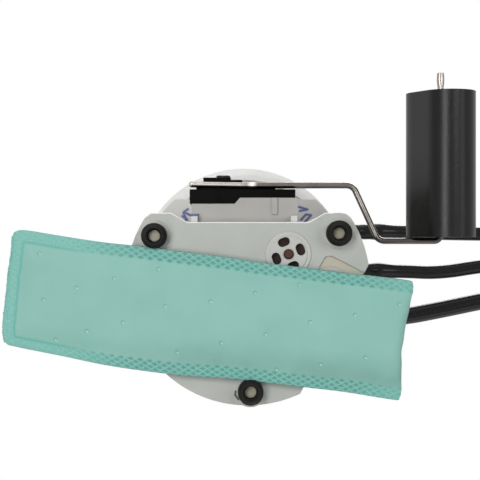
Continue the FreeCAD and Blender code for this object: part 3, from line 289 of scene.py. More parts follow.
setInputs(outs, {
    "Colour": mixColour(skinGroup, ramp(skinGroup, cloud, 2.2, -0.6), ins["Colour"], ins["Cloud Colour"]),
    "Roughness": calc("ADD", ins["Roughness"], calc("MULTIPLY", spread, 4.0), clamp=True),
    "Height": calc("ADD", grain, calc("MULTIPLY", cloud, 1.5))})

# corners that a mould or a press leaves slightly round
edgeGroup, ins, outs, names = newGroup("roundedEdge", [("Radius", "Float", 0.0004)], [("Normal", "Vector")])
rounder = addNode(edgeGroup, "ShaderNodeBevel", {"Radius": ins[0]}, samples=6)
setInputs(outs, {0: rounder.outputs[0]})

# drawn or turned metal: fine lines one way, a little tarnish
drawnGroup, ins, outs, names = newGroup("drawnMetal", [
    ("Vector", "Vector", None), ("Colour", "Color", None), ("Tarnish Colour", "Color", None),
    ("Line Scale", "Vector", (2500.0, 2500.0, 60.0)), ("Roughness", "Float", 0.3)],
    [("Colour", "Color"), ("Roughness", "Float"), ("Height", "Float")])
calc = partial(nodeSum, drawnGroup)
lines = noiseAt(drawnGroup, vectorSum(drawnGroup, "MULTIPLY", ins["Vector"], ins["Line Scale"]), 1.0, 2.0)
tarnish = ramp(drawnGroup, noiseAt(drawnGroup, ins["Vector"], 140.0, 4.0, 0.6), 3.0, -1.2)
setInputs(outs, {
    "Colour": mixColour(drawnGroup, tarnish, ins["Colour"], ins["Tarnish Colour"]),
    "Roughness": calc("ADD", ins["Roughness"], calc("MULTIPLY_ADD", lines, 0.16, -0.08), clamp=True),
    "Height": lines})

# a round spot on a face, from its centre in X and Y
spotGroup, ins, outs, names = newGroup("roundSpot", [
    ("Vector", "Vector", None), ("Centre", "Vector", (0.0, 0.0, 0.0)), ("Radius", "Float", 0.003),
    ("Soft", "Float", 0.0002)], [("Mask", "Float")])
calc = partial(nodeSum, spotGroup)
level = vectorSum(spotGroup, "MULTIPLY", ins["Vector"], (1.0, 1.0, 0.0))
away = vectorSum(spotGroup, "DISTANCE", level, ins["Centre"])
setInputs(outs, {0: calc("DIVIDE", calc("SUBTRACT", ins["Radius"], away), ins["Soft"], clamp=True)})

# one straight stroke of a marker pen, from its two ends
strokeGroup, ins, outs, names = newGroup("penStroke", [
    ("Vector", "Vector", None), ("Start", "Vector", (0.0, 0.0, 0.0)), ("Run", "Vector", (1.0, 0.0, 0.0)),
    ("Width", "Float", 0.001)], [("Mask", "Float")])
calc = partial(nodeSum, strokeGroup)
fromStart = vectorSum(strokeGroup, "SUBTRACT", ins["Vector"], ins["Start"])
dots = [vectorSum(strokeGroup, "DOT_PRODUCT", first, ins["Run"]) for first in (fromStart, ins["Run"])]
share = calc("DIVIDE", *dots, clamp=True)
onLine = addNode(strokeGroup, "ShaderNodeVectorMath", {0: ins["Run"], "Scale": share}, operation="SCALE")
aside = vectorSum(strokeGroup, "DISTANCE", fromStart, onLine.outputs[0])
setInputs(outs, {0: calc("SUBTRACT", 1.5, calc("DIVIDE", aside, ins["Width"]), clamp=True)})
print("shader groups made")


def startMaterial(name, edge):
    material = bpy.data.materials.new(name)
    material.use_nodes = True
    tree = material.node_tree
    shader = tree.nodes["Principled BSDF"]
    place = addNode(tree, "ShaderNodeTexCoord").outputs["Object"]
    bump = addNode(tree, "ShaderNodeBump")
    setInputs(shader, {"Normal": bump.outputs[0]})
    if edge:
        setInputs(bump, {"Normal": useGroup(tree, edgeGroup, {"Radius": edge})[0]})
    return material, tree, shader, place, bump


def openMaterial(material):
    # a finished material's nodes, to paint over its colour
    tree = material.node_tree
    shader = tree.nodes["Principled BSDF"]
    place = next(node for node in tree.nodes if node.type == "TEX_COORD").outputs["Object"]
    return tree, shader, place, shader.inputs["Base Color"].links[0].from_socket


def mouldedMaterial(name, look):
    material, tree, shader, place, bump = startMaterial(name, look.get("edge", 0.0004))
    skin = useGroup(tree, skinGroup, {
        "Vector": place, "Colour": look["colour"], "Cloud Colour": look["cloud"],
        "Cloud Scale": look.get("cloudScale", 60.0), "Grain Scale": look.get("grain", 1500.0),
        "Roughness": look["roughness"], "Rubbed": look.get("wearAndPaintedShine", 0.08)})
    setInputs(bump, {"Height": skin["Height"], "Strength": look.get("bump", 0.25), "Distance": 0.0001})
    setInputs(shader, {
        "Base Color": skin["Colour"], "Roughness": skin["Roughness"], "Subsurface Radius": (1.0, 0.95, 0.85),
        "Specular IOR Level": look.get("specular", 0.5), "Subsurface Weight": look.get("glowWeight", 0.0),
        "Subsurface Scale": look.get("glowDeep", 0.002)})
    return material


def metalMaterial(name, look):
    material, tree, shader, place, bump = startMaterial(name, 0.0002)
    drawn = useGroup(tree, drawnGroup, {
        "Vector": place, "Colour": look["colour"], "Tarnish Colour": look["tarnish"],
        "Line Scale": look.get("lines", (2500.0, 2500.0, 60.0)), "Roughness": look["roughness"]})
    setInputs(bump, {"Height": drawn["Height"], "Strength": look.get("bump", 0.15), "Distance": 0.00005})
    setInputs(shader, {"Base Color": drawn["Colour"], "Roughness": drawn["Roughness"], "Metallic": 1.0})
    return material


paleSkin = {"grain": 900.0, "glowWeight": 0.25, "glowDeep": 0.003, "bump": 0.2}
plasticLooks = {
    "naturalNylon": {"colour": (0.430, 0.450, 0.423), "cloud": (0.395, 0.41, 0.378), "roughness": 0.42,
                     "edge": 0.0006, **paleSkin},
    "paleNylon": {"colour": (0.60, 0.595, 0.575), "cloud": (0.55, 0.545, 0.52), "roughness": 0.4,
                  "edge": 0.0006, **paleSkin},
    "flangeNylon": {"colour": (0.86, 0.85, 0.84), "cloud": (0.80, 0.79, 0.78), "roughness": 0.38,
                    "edge": 0.0007, **paleSkin},
    # the natural nylon painted darker: painted shade on the bracket's ledge under the sensor
    "shadedBracketNylon": {"colour": (0.385, 0.376, 0.353), "cloud": (0.345, 0.336, 0.318), "roughness": 0.42,
                     "edge": 0.0005, **paleSkin},
    "blackNylon": {"colour": (0.0022, 0.0022, 0.0023), "cloud": (0.0034, 0.0034, 0.0033), "roughness": 0.4,
                   "grain": 2600.0, "bump": 0.5, "specular": 0.10, "edge": 0.0003},
    "housingNylon": {"colour": (0.0022, 0.0022, 0.0023), "cloud": (0.0034, 0.0034, 0.0033), "roughness": 0.32,
                     "grain": 2600.0, "bump": 0.3, "specular": 0.03, "edge": 0.0003},
    "blackRubber": {"colour": (0.0050, 0.0050, 0.0046), "cloud": (0.0090, 0.0086, 0.0078), "roughness": 0.52,
                    "grain": 3200.0, "bump": 0.6, "specular": 0.12, "edge": 0.0},
    "valveRubber": {"colour": (0.060, 0.022, 0.015), "cloud": (0.044, 0.016, 0.012), "roughness": 0.5,
                    "grain": 2200.0, "bump": 0.4, "specular": 0.2, "edge": 0.0002},
    "floatFoam": {"colour": (0.0034, 0.0031, 0.0030), "cloud": (0.0050, 0.0045, 0.0044), "roughness": 0.30,
                  "cloudScale": 130.0, "grain": 2600.0, "bump": 0.35, "specular": 0.20, "edge": 0.0003,
                  "wearAndPaintedShine": 0.04},
    "impellerResin": {"colour": (0.045, 0.030, 0.020), "cloud": (0.060, 0.042, 0.028), "roughness": 0.45},
    "magnetFerrite": {"colour": (0.030, 0.030, 0.033), "cloud": (0.045, 0.043, 0.042), "roughness": 0.6,
                      "grain": 1200.0, "bump": 0.6},
    "brushCarbon": {"colour": (0.016, 0.016, 0.017), "cloud": (0.030, 0.030, 0.031), "roughness": 0.5,
                    "bump": 0.5},
    "cardCeramic": {"colour": (0.62, 0.60, 0.55), "cloud": (0.55, 0.53, 0.48), "roughness": 0.55,
                    "edge": 0.0001},
    "nubCloth": {"colour": (0.20, 0.48, 0.42), "cloud": (0.15, 0.39, 0.34), "cloudScale": 300.0,
                 "roughness": 0.5, "edge": 0.0},
}
metalLooks = {
    "steelRod": {"colour": (0.62, 0.61, 0.59), "tarnish": (0.50, 0.49, 0.47), "roughness": 0.22},
    "steelWire": {"colour": (0.150, 0.136, 0.126), "tarnish": (0.095, 0.084, 0.077), "roughness": 0.24,
                  "lines": (300.0, 300.0, 300.0)},
    "blackSteel": {"colour": (0.035, 0.035, 0.037), "tarnish": (0.025, 0.025, 0.027), "roughness": 0.5},
    "springSteel": {"colour": (0.45, 0.44, 0.43), "tarnish": (0.30, 0.28, 0.26), "roughness": 0.3,
                    "lines": (500.0, 500.0, 500.0)},
    "pumpCan": {"colour": (0.58, 0.57, 0.54), "tarnish": (0.47, 0.45, 0.42), "roughness": 0.34,
                "lines": (80.0, 80.0, 1800.0)},
    "dieCast": {"colour": (0.50, 0.50, 0.50), "tarnish": (0.40, 0.40, 0.40), "roughness": 0.48,
                "lines": (900.0, 900.0, 900.0), "bump": 0.5},
    "armatureCore": {"colour": (0.42, 0.38, 0.35), "tarnish": (0.30, 0.20, 0.14), "roughness": 0.4,
                     "lines": (60.0, 60.0, 2200.0), "bump": 0.5},
    "contactMetal": {"colour": (0.72, 0.66, 0.50), "tarnish": (0.60, 0.54, 0.40), "roughness": 0.3},
    "brassPin": {"colour": (0.70, 0.52, 0.24), "tarnish": (0.55, 0.40, 0.18), "roughness": 0.28},
    "bronzeBush": {"colour": (0.48, 0.29, 0.15), "tarnish": (0.34, 0.20, 0.10), "roughness": 0.45,
                   "lines": (900.0, 900.0, 900.0), "bump": 0.4},
}
finishes = {name: mouldedMaterial(name, look) for name, look in plasticLooks.items()}
finishes.update({name: metalMaterial(name, look) for name, look in metalLooks.items()})


# base plate: natural nylon with a painted glowing highlight on its outer edges, beige pegs, a pale valve seat
# and painted shade in the recess
basePlateLook = {
    "feet": [(0.0430, -0.0238), (-0.0444, -0.0226), (0.0012, 0.0513)], "pegRadius": 0.0029, "pegSoft": 0.0002,
    "restRadius": 0.0088, "restSoft": 0.0010, "restShare": 0.55, "restDark": 0.0012, "restDarkSoft": 0.0004,
    "beige": (0.325, 0.297, 0.215), "beigeUnder": -0.1905, "pale": (0.50, 0.50, 0.475), "paleShare": 0.75,
    "seat": (0.0193, -0.0139, 0), "seatRadius": 0.0112, "seatSoft": 0.0012,
    "recess": (0.46, 0.435, 0.35), "recessFrom": -0.1899, "recessTo": -0.1880, "recessReach": 0.022,
    "recessNear": (0.046, 0.0, 0.0), "recessSoft": 0.0002, "frontFrom": -0.0262, "paintedEdgeGlow": (0.95, 0.96, 0.95),
    "paintedEdgeLight": (0.30, 0.30, 0.30), "paintedEdgeRound": 0.0007, "paintedEdgeGain": 2.2}


def spotAt(tree, place, centre, radius, soft):
    values = {"Vector": place, "Centre": centre, "Radius": radius, "Soft": soft}
    return useGroup(tree, spotGroup, values)[0]


def basePlateMaterial(name, look):
    material = mouldedMaterial(name, plasticLooks["naturalNylon"])
    tree, shader, place, colour = openMaterial(material)
    calc, spot = partial(nodeSum, tree), partial(spotAt, tree, place)
    parts = split(tree, place)
    pale = [spot(look["seat"], look["seatRadius"], look["seatSoft"])]
    outer = calc("LESS_THAN", parts["Y"], look["frontFrom"])
    pegs = []
    for x, y in look["feet"]:
        foot = (x, y, 0)
        pale.append(calc("MULTIPLY", spot(foot, look["restRadius"], look["restSoft"]), look["restShare"]))
        dark = spot(foot, look["restRadius"] + look["restDark"], look["restDarkSoft"])
        outer = calc("SUBTRACT", outer, dark, clamp=True)
        pegs.append(spot(foot, look["pegRadius"], look["pegSoft"]))
    pale = calc("MULTIPLY", reduce(partial(calc, "MAXIMUM"), pale), look["paleShare"])
    colour = mixColour(tree, pale, colour, look["pale"])
    # painted shade: the floor of the recess near the notch is mixed towards a darker beige
    within = calc("MULTIPLY", calc("GREATER_THAN", parts["Z"], look["recessFrom"]),
                  calc("LESS_THAN", parts["Z"], look["recessTo"]))
    recessShade = calc("MULTIPLY", within, spot(look["recessNear"], look["recessReach"], look["recessSoft"]))
    colour = mixColour(tree, recessShade, colour, look["recess"])
    lowPegs = calc("MULTIPLY", reduce(partial(calc, "MAXIMUM"), pegs),
                   calc("LESS_THAN", parts["Z"], look["beigeUnder"]))
    colour = mixColour(tree, lowPegs, colour, look["beige"])
    # painted highlight on the rounded outer edges, in the colour and as emission, so these edges glow without
    # a lamp
    rounding = addNode(tree, "ShaderNodeBevel", {"Radius": look["paintedEdgeRound"]}, samples=6)
    turned = vectorSum(tree, "DISTANCE", rounding.outputs[0], faceNormal(tree))
    paintedEdgeGlow = calc("MULTIPLY", calc("MULTIPLY", turned, look["paintedEdgeGain"], clamp=True), outer)
    setInputs(shader, {"Base Color": mixColour(tree, paintedEdgeGlow, colour, look["paintedEdgeGlow"]), "Emission Strength": 1.0,
                       "Emission Color": mixColour(tree, paintedEdgeGlow, (0.0, 0.0, 0.0), look["paintedEdgeLight"])})
    return material


finishes["basePlateNylon"] = basePlateMaterial("basePlateNylon", basePlateLook)

# loose pen strokes on the faces that look down, placed as the camera sees them
bluePen = {"ink": (0.020, 0.050, 0.24), "width": 0.00085, "strokes": [
    [(-30.6, 22.9), (-33.6, 20.8), (-29.0, 18.5), (-22.8, 18.6)], [(-33.9, 20.2), (-32.2, 16.6)],
    [(-34.6, 17.8), (-31.0, 15.2), (-34.3, 13.6)], [(52.0, 24.5), (58.4, 22.7), (52.8, 21.6)],
    [(53.5, 14.9), (57.2, 19.0), (61.0, 18.4), (56.5, 13.4)]]}
blackTick = {"ink": (0.006, 0.006, 0.006), "width": 0.00085, "strokes": [
    [(4.9, -112.6), (4.6, -115.2), (6.9, -118.3)]]}


def penOn(material, pen):
    # the strokes are flat marks in a plane 1 m in front of the eye, in thousandths
    tree, shader, place, colour = openMaterial(material)
    calc = partial(nodeSum, tree)
    parts = split(tree, vectorSum(tree, "SUBTRACT", place, photoCamera["place"]))
    seen = addNode(tree, "ShaderNodeCombineXYZ", {0: calc("DIVIDE", parts["X"], parts["Z"]),
                                                  1: calc("DIVIDE", parts["Y"], parts["Z"])}).outputs[0]
    marks = []
    for stroke in pen["strokes"]:
        for (x, y), (endX, endY) in zip(stroke, stroke[1:]):
            marks.append(useGroup(tree, strokeGroup, {
                "Vector": seen, "Start": (x / 1000, -y / 1000, 0), "Width": pen["width"],
                "Run": ((endX - x) / 1000, (y - endY) / 1000, 0)})[0])
    facesDown = calc("LESS_THAN", split(tree, faceNormal(tree))["Z"], -0.5)
    inked = calc("MULTIPLY", reduce(partial(calc, "MAXIMUM"), marks), facesDown)
    setInputs(shader, {"Base Color": mixColour(tree, calc("MULTIPLY", inked, 0.92), colour, pen["ink"])})


penOn(finishes["paleNylon"], bluePen)
penOn(finishes["shadedBracketNylon"], bluePen)
penOn(finishes["basePlateNylon"], blackTick)

# float wire: a painted reflection makes the end that the carrier grips lighter, the tip is a little lighter,
# a painted dark reflection darkens the run near the base, and a painted glint marks the kink
wireLook = {"wearAndPaintedShine": (0.44, 0.40, 0.365), "low": (0.070, 0.062, 0.057), "kinkGlint": (0.95, 0.86, 0.79),
            "tailX": 0.004, "tailSharp": 120.0, "tipY": -0.090, "tipSharp": 300.0, "tipShare": 0.35,
            "lowY": -0.0235, "lowSharp": 500.0, "kinkX": 0.0022, "kinkSharp": 380.0}


def paintWireLight(look):
    tree, shader, place, colour = openMaterial(finishes["steelWire"])
    calc = partial(nodeSum, tree)
    parts = split(tree, place)
    atTail = calc("MULTIPLY", calc("SUBTRACT", look["tailX"], parts["X"]), look["tailSharp"], clamp=True)
    atTip = calc("MULTIPLY", calc("SUBTRACT", look["tipY"], parts["Y"]), look["tipSharp"], clamp=True)
    atLow = calc("MULTIPLY", calc("SUBTRACT", parts["Y"], look["lowY"]), look["lowSharp"], clamp=True)
    fromKink = calc("ABSOLUTE", calc("SUBTRACT", parts["X"], look["kinkX"]))
    atKink = calc("SUBTRACT", 1.0, calc("MULTIPLY", fromKink, look["kinkSharp"]), clamp=True)
    # painted reflection on the gripped end, painted dark reflection on the low run, painted glint at the kink
    atEnds = calc("MAXIMUM", atTail, calc("MULTIPLY", atTip, look["tipShare"]))
    colour = mixColour(tree, atEnds, colour, look["wearAndPaintedShine"])
    colour = mixColour(tree, atLow, colour, look["low"])
    setInputs(shader, {"Base Color": mixColour(tree, atKink, colour, look["kinkGlint"])})


paintWireLight(wireLook)

# inlet valve: painted shade makes the skirt seen through the slots darker than the button
valveLook = {"skirtShade": (0.015, 0.005, 0.003), "buttonRadius": 0.0032, "buttonSoft": 0.0004}
tree, shader, place, colour = openMaterial(finishes["valveRubber"])
onButton = spotAt(tree, place, basePlateLook["seat"], valveLook["buttonRadius"], valveLook["buttonSoft"])
setInputs(shader, {"Base Color": mixColour(tree, onButton, valveLook["skirtShade"], colour)})

# fuel lines: black nylon tube with faint draw lines along it
hoseFinish = {"colour": (0.0042, 0.0042, 0.0047), "worn": (0.0095, 0.0095, 0.0100), "roughness": 0.22,
              "specular": 0.18, "bump": 0.10, "bumpDeep": 0.0002}


def hoseMaterial(name, look):
    material, tree, shader, place, bump = startMaterial(name, 0)
    calc = partial(nodeSum, tree)
    along = addNode(tree, "ShaderNodeUVMap", uv_map="alongHose").outputs[0]
    stretch = addNode(tree, "ShaderNodeMapping", {"Vector": along, "Scale": (26.0, 60.0, 1.0)})
    lines = noiseAt(tree, stretch.outputs[0], 1.0, 3.0, 0.6)
    scuffs = noiseAt(tree, place, 420.0, 5.0, 0.65)
    setInputs(shader, {
        "Base Color": mixColour(tree, ramp(tree, scuffs, 3.2, -1.6), look["colour"], look["worn"]),
        "Roughness": ramp(tree, scuffs, 0.25, look["roughness"] - 0.12),
        "Specular IOR Level": look["specular"]})
    setInputs(bump, {"Height": calc("ADD", lines, calc("MULTIPLY", scuffs, 0.4)), "Strength": look["bump"],
                     "Distance": look["bumpDeep"]})
    return material


finishes["hoseNylon"] = hoseMaterial("hoseNylon", hoseFinish)
for piece in hosePieces:
    piece.data.materials.append(finishes["hoseNylon"])

nodeFinish = {
    "flangeNylon": ["flange_cover", "feed_port", "return_port", "vapour_port"],
    "blackNylon": ["connector_shell", "vent_valve_housing", "feed_coupler", "return_coupler",
                   "vapour_coupler", "pump_outlet_cap", "rod_end_clips", "return_tube"],
    "housingNylon": ["sensor_housing", "arm_carrier"],
    "paleNylon": ["reservoir_bucket", "reservoir_lid", "vent_valve_plunger", "strainer_neck"],
    "shadedBracketNylon": ["sensor_bracket"],
    "basePlateNylon": ["base_plate"],
    "blackRubber": ["foot_left", "foot_right", "foot_rear", "pump_isolator"],
    "valveRubber": ["inlet_valve"],
    "steelRod": ["guide_rod_left", "guide_rod_right", "guide_rod_rear"],
    "blackSteel": ["pivot_pin"],
    "steelWire": ["float_wire"],
    "pumpCan": ["pump_shell"],
    "dieCast": ["pump_inlet_cover", "pump_channel_plate"],
    "magnetFerrite": ["motor_magnets"],
    "brushCarbon": ["motor_brushes"],
    "armatureCore": ["armature"],
    "cardCeramic": ["resistor_card"],
    "contactMetal": ["wiper_contact"],
    "brassPin": ["connector_pins"],
    "floatFoam": ["float"],
    "impellerResin": ["impeller"],
    "bronzeBush": ["lower_bush"],
}
for finish, names in nodeFinish.items():
    for name in names:
        if not cadNodes[name].material_slots:
            cadNodes[name].data.materials.append(finishes[finish])
        for entry in cadNodes[name].material_slots:
            entry.material = finishes[finish]
print("materials on", sum(len(names) for names in nodeFinish.values()), "nodes")


# strainer sock, in mm: two layers of mesh cloth, crimped together along three edges and folded at the fourth;
# a pair such as plainTo or cutWide says where a change in the cloth starts and where it ends
sock = {
    "topEdge": [(-110.3, -24.2), (-109.0, -25.1), (-105.7, -25.6), (-86.8, -22.6), (-68.0, -19.8),
                (-49.1, -17.8), (-30.2, -15.4), (-11.4, -13.1), (7.5, -10.2), (26.4, -7.9), (45.3, -5.5),
                (64.1, -3.4), (75.4, -2.0), (77.8, -1.3)],
    "lowEdge": [(-113.2, 28.9), (-110.0, 29.6), (-105.7, 30.6), (-86.8, 34.4), (-68.0, 38.4), (-49.1, 41.3),
                (-30.2, 43.5), (-11.4, 44.7), (7.5, 46.7), (26.4, 49.1), (45.3, 51.3), (64.1, 54.4),
                (71.2, 55.4)],
    "leftEdge": [(-110.3, -24.2), (-111.4, -22.5), (-111.6, -18.2), (-112.5, -11.2), (-113.5, -4.1),
                 (-114.2, 3.0), (-115.0, 10.1), (-115.7, 17.1), (-115.9, 22.8), (-115.1, 27.0),
                 (-113.2, 28.9)],
    "rightEdge": [(77.8, -1.3), (78.3, 3.0), (77.1, 7.7), (76.4, 12.4), (75.0, 18.1), (74.3, 21.9),
                  (73.6, 27.5), (72.6, 32.2), (72.8, 37.0), (72.6, 45.4), (72.6, 51.1), (71.2, 55.4)],
    "welds": [(-98.3, -14.4), (-96.3, 7.4), (-80.7, 1.8), (-63.1, -2.7), (-42.3, -7.1), (-90.8, 26.3),
              (-75.9, 22.2), (-59.0, 18.1), (-39.1, 10.4), (-17.7, 8.3), (3.2, 4.2), (23.9, 0.3),
              (-33.5, 32.0), (-12.8, 27.7), (8.1, 23.6), (29.0, 17.9), (13.3, 40.3), (33.9, 37.8),
              (50.2, 14.5), (71.0, 9.4), (55.0, 34.6)],
    "middleZ": -195.5, "puffLow": 3.0, "puffHigh": 2.9, "puffRun": 9.0, "puffRipple": 0.16, "foldRun": 4.0,
    "bandThick": 0.42, "bandWide": 5.9, "leftBandWide": 5.8, "bandTooth": 1.4, "cellsLong": 96,
    "cellsWide": 30, "cellLong": 4.5, "cellWide": 2.65, "quiltDeep": 0.34,
    "weldDeep": 0.20, "weldRadius": 0.95, "puckerDeep": 0.22, "puckerRadius": 3.6,
    "neck": (39.5, 0.5), "neckRadius": 9.0, "neckHigh": 3.1,
    "plainTo": (20, 50), "latticeLeast": 0.12, "latticeFrom": (22, 66), "latticeFade": (24, 4),
    "cutFrom": (30, 70), "cutWide": (0.35, 0.8), "ridgeFrom": (0.45, 0.95), "edgeFade": (0.0, 0.7),
    "seed": 7.3, "nubPitch": 1.3, "nubRadius": 0.80, "nubInset": 0.60, "edgeOut": 0.5,
}


def alongEdge(edge):
    # a place along a measured edge, from 0 to 1, eased between its points
    places = [Vector((*p, 0)) for p in edge]
    lengths = runLengths(places)
    last = len(places) - 1

    def at(share):
        wanted = share * lengths[-1]
        i = 0
        while i < last - 1 and lengths[i + 1] < wanted:
            i += 1
        before, after = max(i - 1, 0), min(i + 2, last)
        a, b = places[i], places[i + 1]
        span = lengths[i + 1] - lengths[i]
        t = (wanted - lengths[i]) / span
        startSlope = (b - places[before]) / max(lengths[i + 1] - lengths[before], 1e-6) * span
        endSlope = (places[after] - a) / max(lengths[after] - lengths[i], 1e-6) * span
        t2, t3 = t * t, t * t * t
        return (a * (2 * t3 - 3 * t2 + 1) + startSlope * (t3 - 2 * t2 + t) + b * (3 * t2 - 2 * t3)
                + endSlope * (t3 - t2))
    return at, lengths[-1]


def smooth(value, low, high):
    t = min(max((value - low) / (high - low), 0.0), 1.0)
    return t * t * (3 - 2 * t)


def sockShape():
    # a function that gives a place on the flat sock, and the sock's two mean lengths
    top, topLong = alongEdge(sock["topEdge"])
    low, lowLong = alongEdge(sock["lowEdge"])
    left, leftLong = alongEdge(sock["leftEdge"])
    right, rightLong = alongEdge(sock["rightEdge"])
    corners = top(0), top(1), low(0), low(1)
    whole, across = (topLong + lowLong) / 2, (leftLong + rightLong) / 2

    def at(u, v):
        flat = (top(u) * (1 - v) + low(u) * v + left(v) * (1 - u) + right(v) * u
                - corners[0] * (1 - u) * (1 - v) - corners[1] * u * (1 - v) - corners[2] * (1 - u) * v
                - corners[3] * u * v)
        return flat, u * whole, v * across
    return at, whole, across


def sockHeight(long, wide, whole, across):
    # how far the cloth has risen from its crimped sides, and how open it still is near the fold
    fromSide = min(wide - sock["bandWide"], across - wide - sock["bandWide"], long - sock["leftBandWide"])
    rise = smooth(fromSide, -0.6, sock["puffRun"]) ** 0.7 if fromSide > -0.6 else 0.0
    fold = math.sqrt(max(0.0, 1 - (1 - min((whole - long) / sock["foldRun"], 1.0)) ** 2))
    return rise, fold


def sockLevel(flat, side, border, rise, fold):
    # the height of one point of a layer: puffed, rippled, drawn in at the welds and pressed flat at the neck
    puff = sock["puffLow"] if side < 0 else sock["puffHigh"]
    wave = noise.noise(Vector((flat.x * 0.045, flat.y * 0.10, sock["seed"] + side)))
    ripple = noise.noise(Vector((flat.x * 0.16 + flat.y * 0.05, flat.y * 0.2, sock["seed"] * 2 + side)))
    height = sock["bandThick"] + rise * fold * (puff * (0.90 + 0.10 * wave) - sock["bandThick"]
                                                + sock["puffRipple"] * ripple)
    for x, y in sock["welds"]:
        near = math.hypot(flat.x - x, flat.y - y)
        height -= rise * sock["puckerDeep"] * math.exp(-(near / sock["puckerRadius"]) ** 2)
    if side > 0:
        nearNeck = math.hypot(flat.x - sock["neck"][0], flat.y - sock["neck"][1])
        pressed = 1 - smooth(nearNeck, sock["neckRadius"] - 2.5, sock["neckRadius"])
        height += (sock["neckHigh"] - height) * pressed
    height = max(height, sock["bandThick"] * 0.8) * (0.25 + 0.75 * fold)
    drift = 0.5 * noise.noise(Vector((flat.x * 0.02, flat.y * 0.03, 3.1)))
    return sock["middleZ"] + (0 if border else side * height) + drift * (1 - rise)


def makeSockLayers(at, whole, across):
    # both layers on one grid, joined along their border
    longCells, wideCells = sock["cellsLong"], sock["cellsWide"]
    verts, faces, marks = [], [], []
    places = {}
    for side in (-1, 1):
        for i in range(longCells + 1):
            for j in range(wideCells + 1):
                border = i in (0, longCells) or j in (0, wideCells)
                if border and side == 1:
                    places[side, i, j] = places[-1, i, j]
                    continue
                flat, long, wide = at(i / longCells, j / wideCells)
                flat.x += sock["edgeOut"] * ((i == longCells) - (i == 0))
                flat.y += sock["edgeOut"] * ((j == wideCells) - (j == 0))
                rise, fold = sockHeight(long, wide, whole, across)
                z = sockLevel(flat, side, border, rise, fold)
                places[side, i, j] = len(verts)
                verts.append((flat.x / 1000, flat.y / 1000, z / 1000))
                marks.append((long / 1000, wide / 1000))
        for i in range(longCells):
            for j in range(wideCells):
                ring = [places[side, a, b] for a, b in ((i, j), (i + 1, j), (i + 1, j + 1), (i, j + 1))]
                faces.append(tuple(ring if side > 0 else reversed(ring)))
    piece = meshPiece("strainerSock", verts, faces)
    layer = piece.data.uv_layers.new(name="clothRun")
    for loop in piece.data.loops:
        layer.data[loop.index].uv = marks[loop.vertex_index]
    return piece


def makeStrainerSock():
    at, whole, across = sockShape()
    piece = makeSockLayers(at, whole, across)
    finer = piece.modifiers.new("finer", "SUBSURF")
    finer.levels = finer.render_levels = 2
    finer.uv_smooth = "PRESERVE_BOUNDARIES"
    fine = plainMesh(piece)
    piece.modifiers.clear()
    piece.data = fine
    fine.name = "strainerSock"
    runs = [None] * len(fine.vertices)
    uv = fine.uv_layers["clothRun"].data
    for loop in fine.loops:
        runs[loop.vertex_index] = (uv[loop.index].uv[0] * 1000, uv[loop.index].uv[1] * 1000)
    normals = [v.normal.copy() for v in fine.vertices]
    band, crimped, cut = (fine.attributes.new(label, "FLOAT", "POINT")
                          for label in ("crimpBand", "crimpShow", "cutEdgeAndShadow"))
    for v, (long, wide), normal in zip(fine.vertices, runs, normals):
        # the crimped band has teeth along its inner side, and none near the left end
        nearTip = abs(long / sock["cellLong"] % 1 - 0.5) - 0.25
        plain = 1 - smooth(long, *sock["plainTo"])
        fromSide = min(wide, across - wide) - sock["bandWide"] + sock["bandTooth"] * nearTip * (1 - plain)
        fromLeft = long - sock["leftBandWide"] + 0.5 * noise.noise(Vector((wide * 0.25, 4.0, 0)))
        soften = 0.5 * plain
        inBand = 1 - smooth(min(fromSide, fromLeft), -0.4 - soften, 0.6 + soften)
        lattice = sock["latticeLeast"]
        if long >= sock["leftBandWide"]:
            fading = smooth(long, *(whole - short for short in sock["latticeFade"]))
            lattice += 0.88 * smooth(long, *sock["latticeFrom"]) * (1 - 0.6 * fading)
        near = min(math.hypot(v.co.x * 1000 - x, v.co.y * 1000 - y) for x, y in sock["welds"])
        dent = math.exp(-(near / sock["weldRadius"]) ** 2)
        band.data[v.index].value = inBand
        crimped.data[v.index].value = lattice
        cut.data[v.index].value = smooth(long, *sock["cutFrom"]) * (1 - smooth(wide, *sock["cutWide"]))
        turns = [(long / sock["cellLong"] + way * wide / sock["cellWide"]) % 1 for way in (-1, 1)]
        ridge = max(smooth(abs(turn - 0.5) * 2, *sock["ridgeFrom"]) for turn in turns)
        edgeFade = smooth(min(wide, across - wide, long), *sock["edgeFade"]) * lattice
        shift = inBand * (ridge - 0.5) * sock["quiltDeep"] * edgeFade - dent * sock["weldDeep"] * (1 - inBand)
        v.co += normal * (shift / 1000)
    fine.update()
    return piece


sockPiece = makeStrainerSock()
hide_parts("strainer_sock")
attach(sockPiece, "reservoir")
print("strainer sock made,", len(sockPiece.data.polygons), "faces")

# each ramp is a slope and the value that it starts from
sockFinish = {
    "body": (0.268, 0.525, 0.458), "bodyCloud": (0.238, 0.483, 0.419), "cloudRamp": (2.4, -0.7),
    "thread": (0.34, 0.60, 0.53), "threads": 0.00042, "threadShare": 0.10,
    "shade": (0.165, 0.335, 0.295), "shadeWide": (90.0, -3.25), "shadeLong": (18.0, -0.75),
    "ridge": (0.200, 0.495, 0.430), "pit": (0.075, 0.275, 0.235), "pitRamp": (2.1, -0.98),
    "frayRamp": (2.6, -0.45), "seam": (0.125, 0.430, 0.370), "edge": (0.16, 0.17, 0.14), "edgeShare": 0.8,
    "glint": (0.52, 0.76, 0.70), "glintAside": 0.00036, "glintWide": 0.00062, "dentWide": 0.0008,
    "rimRamp": (3000.0, -2.4), "rimShare": 0.42, "glintFlecks": (5.0, -2.75), "glintFleckShare": 0.30,
    "darkFlecks": (-5.0, 2.25), "darkShare": 0.40, "roughness": 0.62, "specular": 0.35, "sheen": 0.15,
    "bump": 0.5, "bumpDeep": 0.00012}


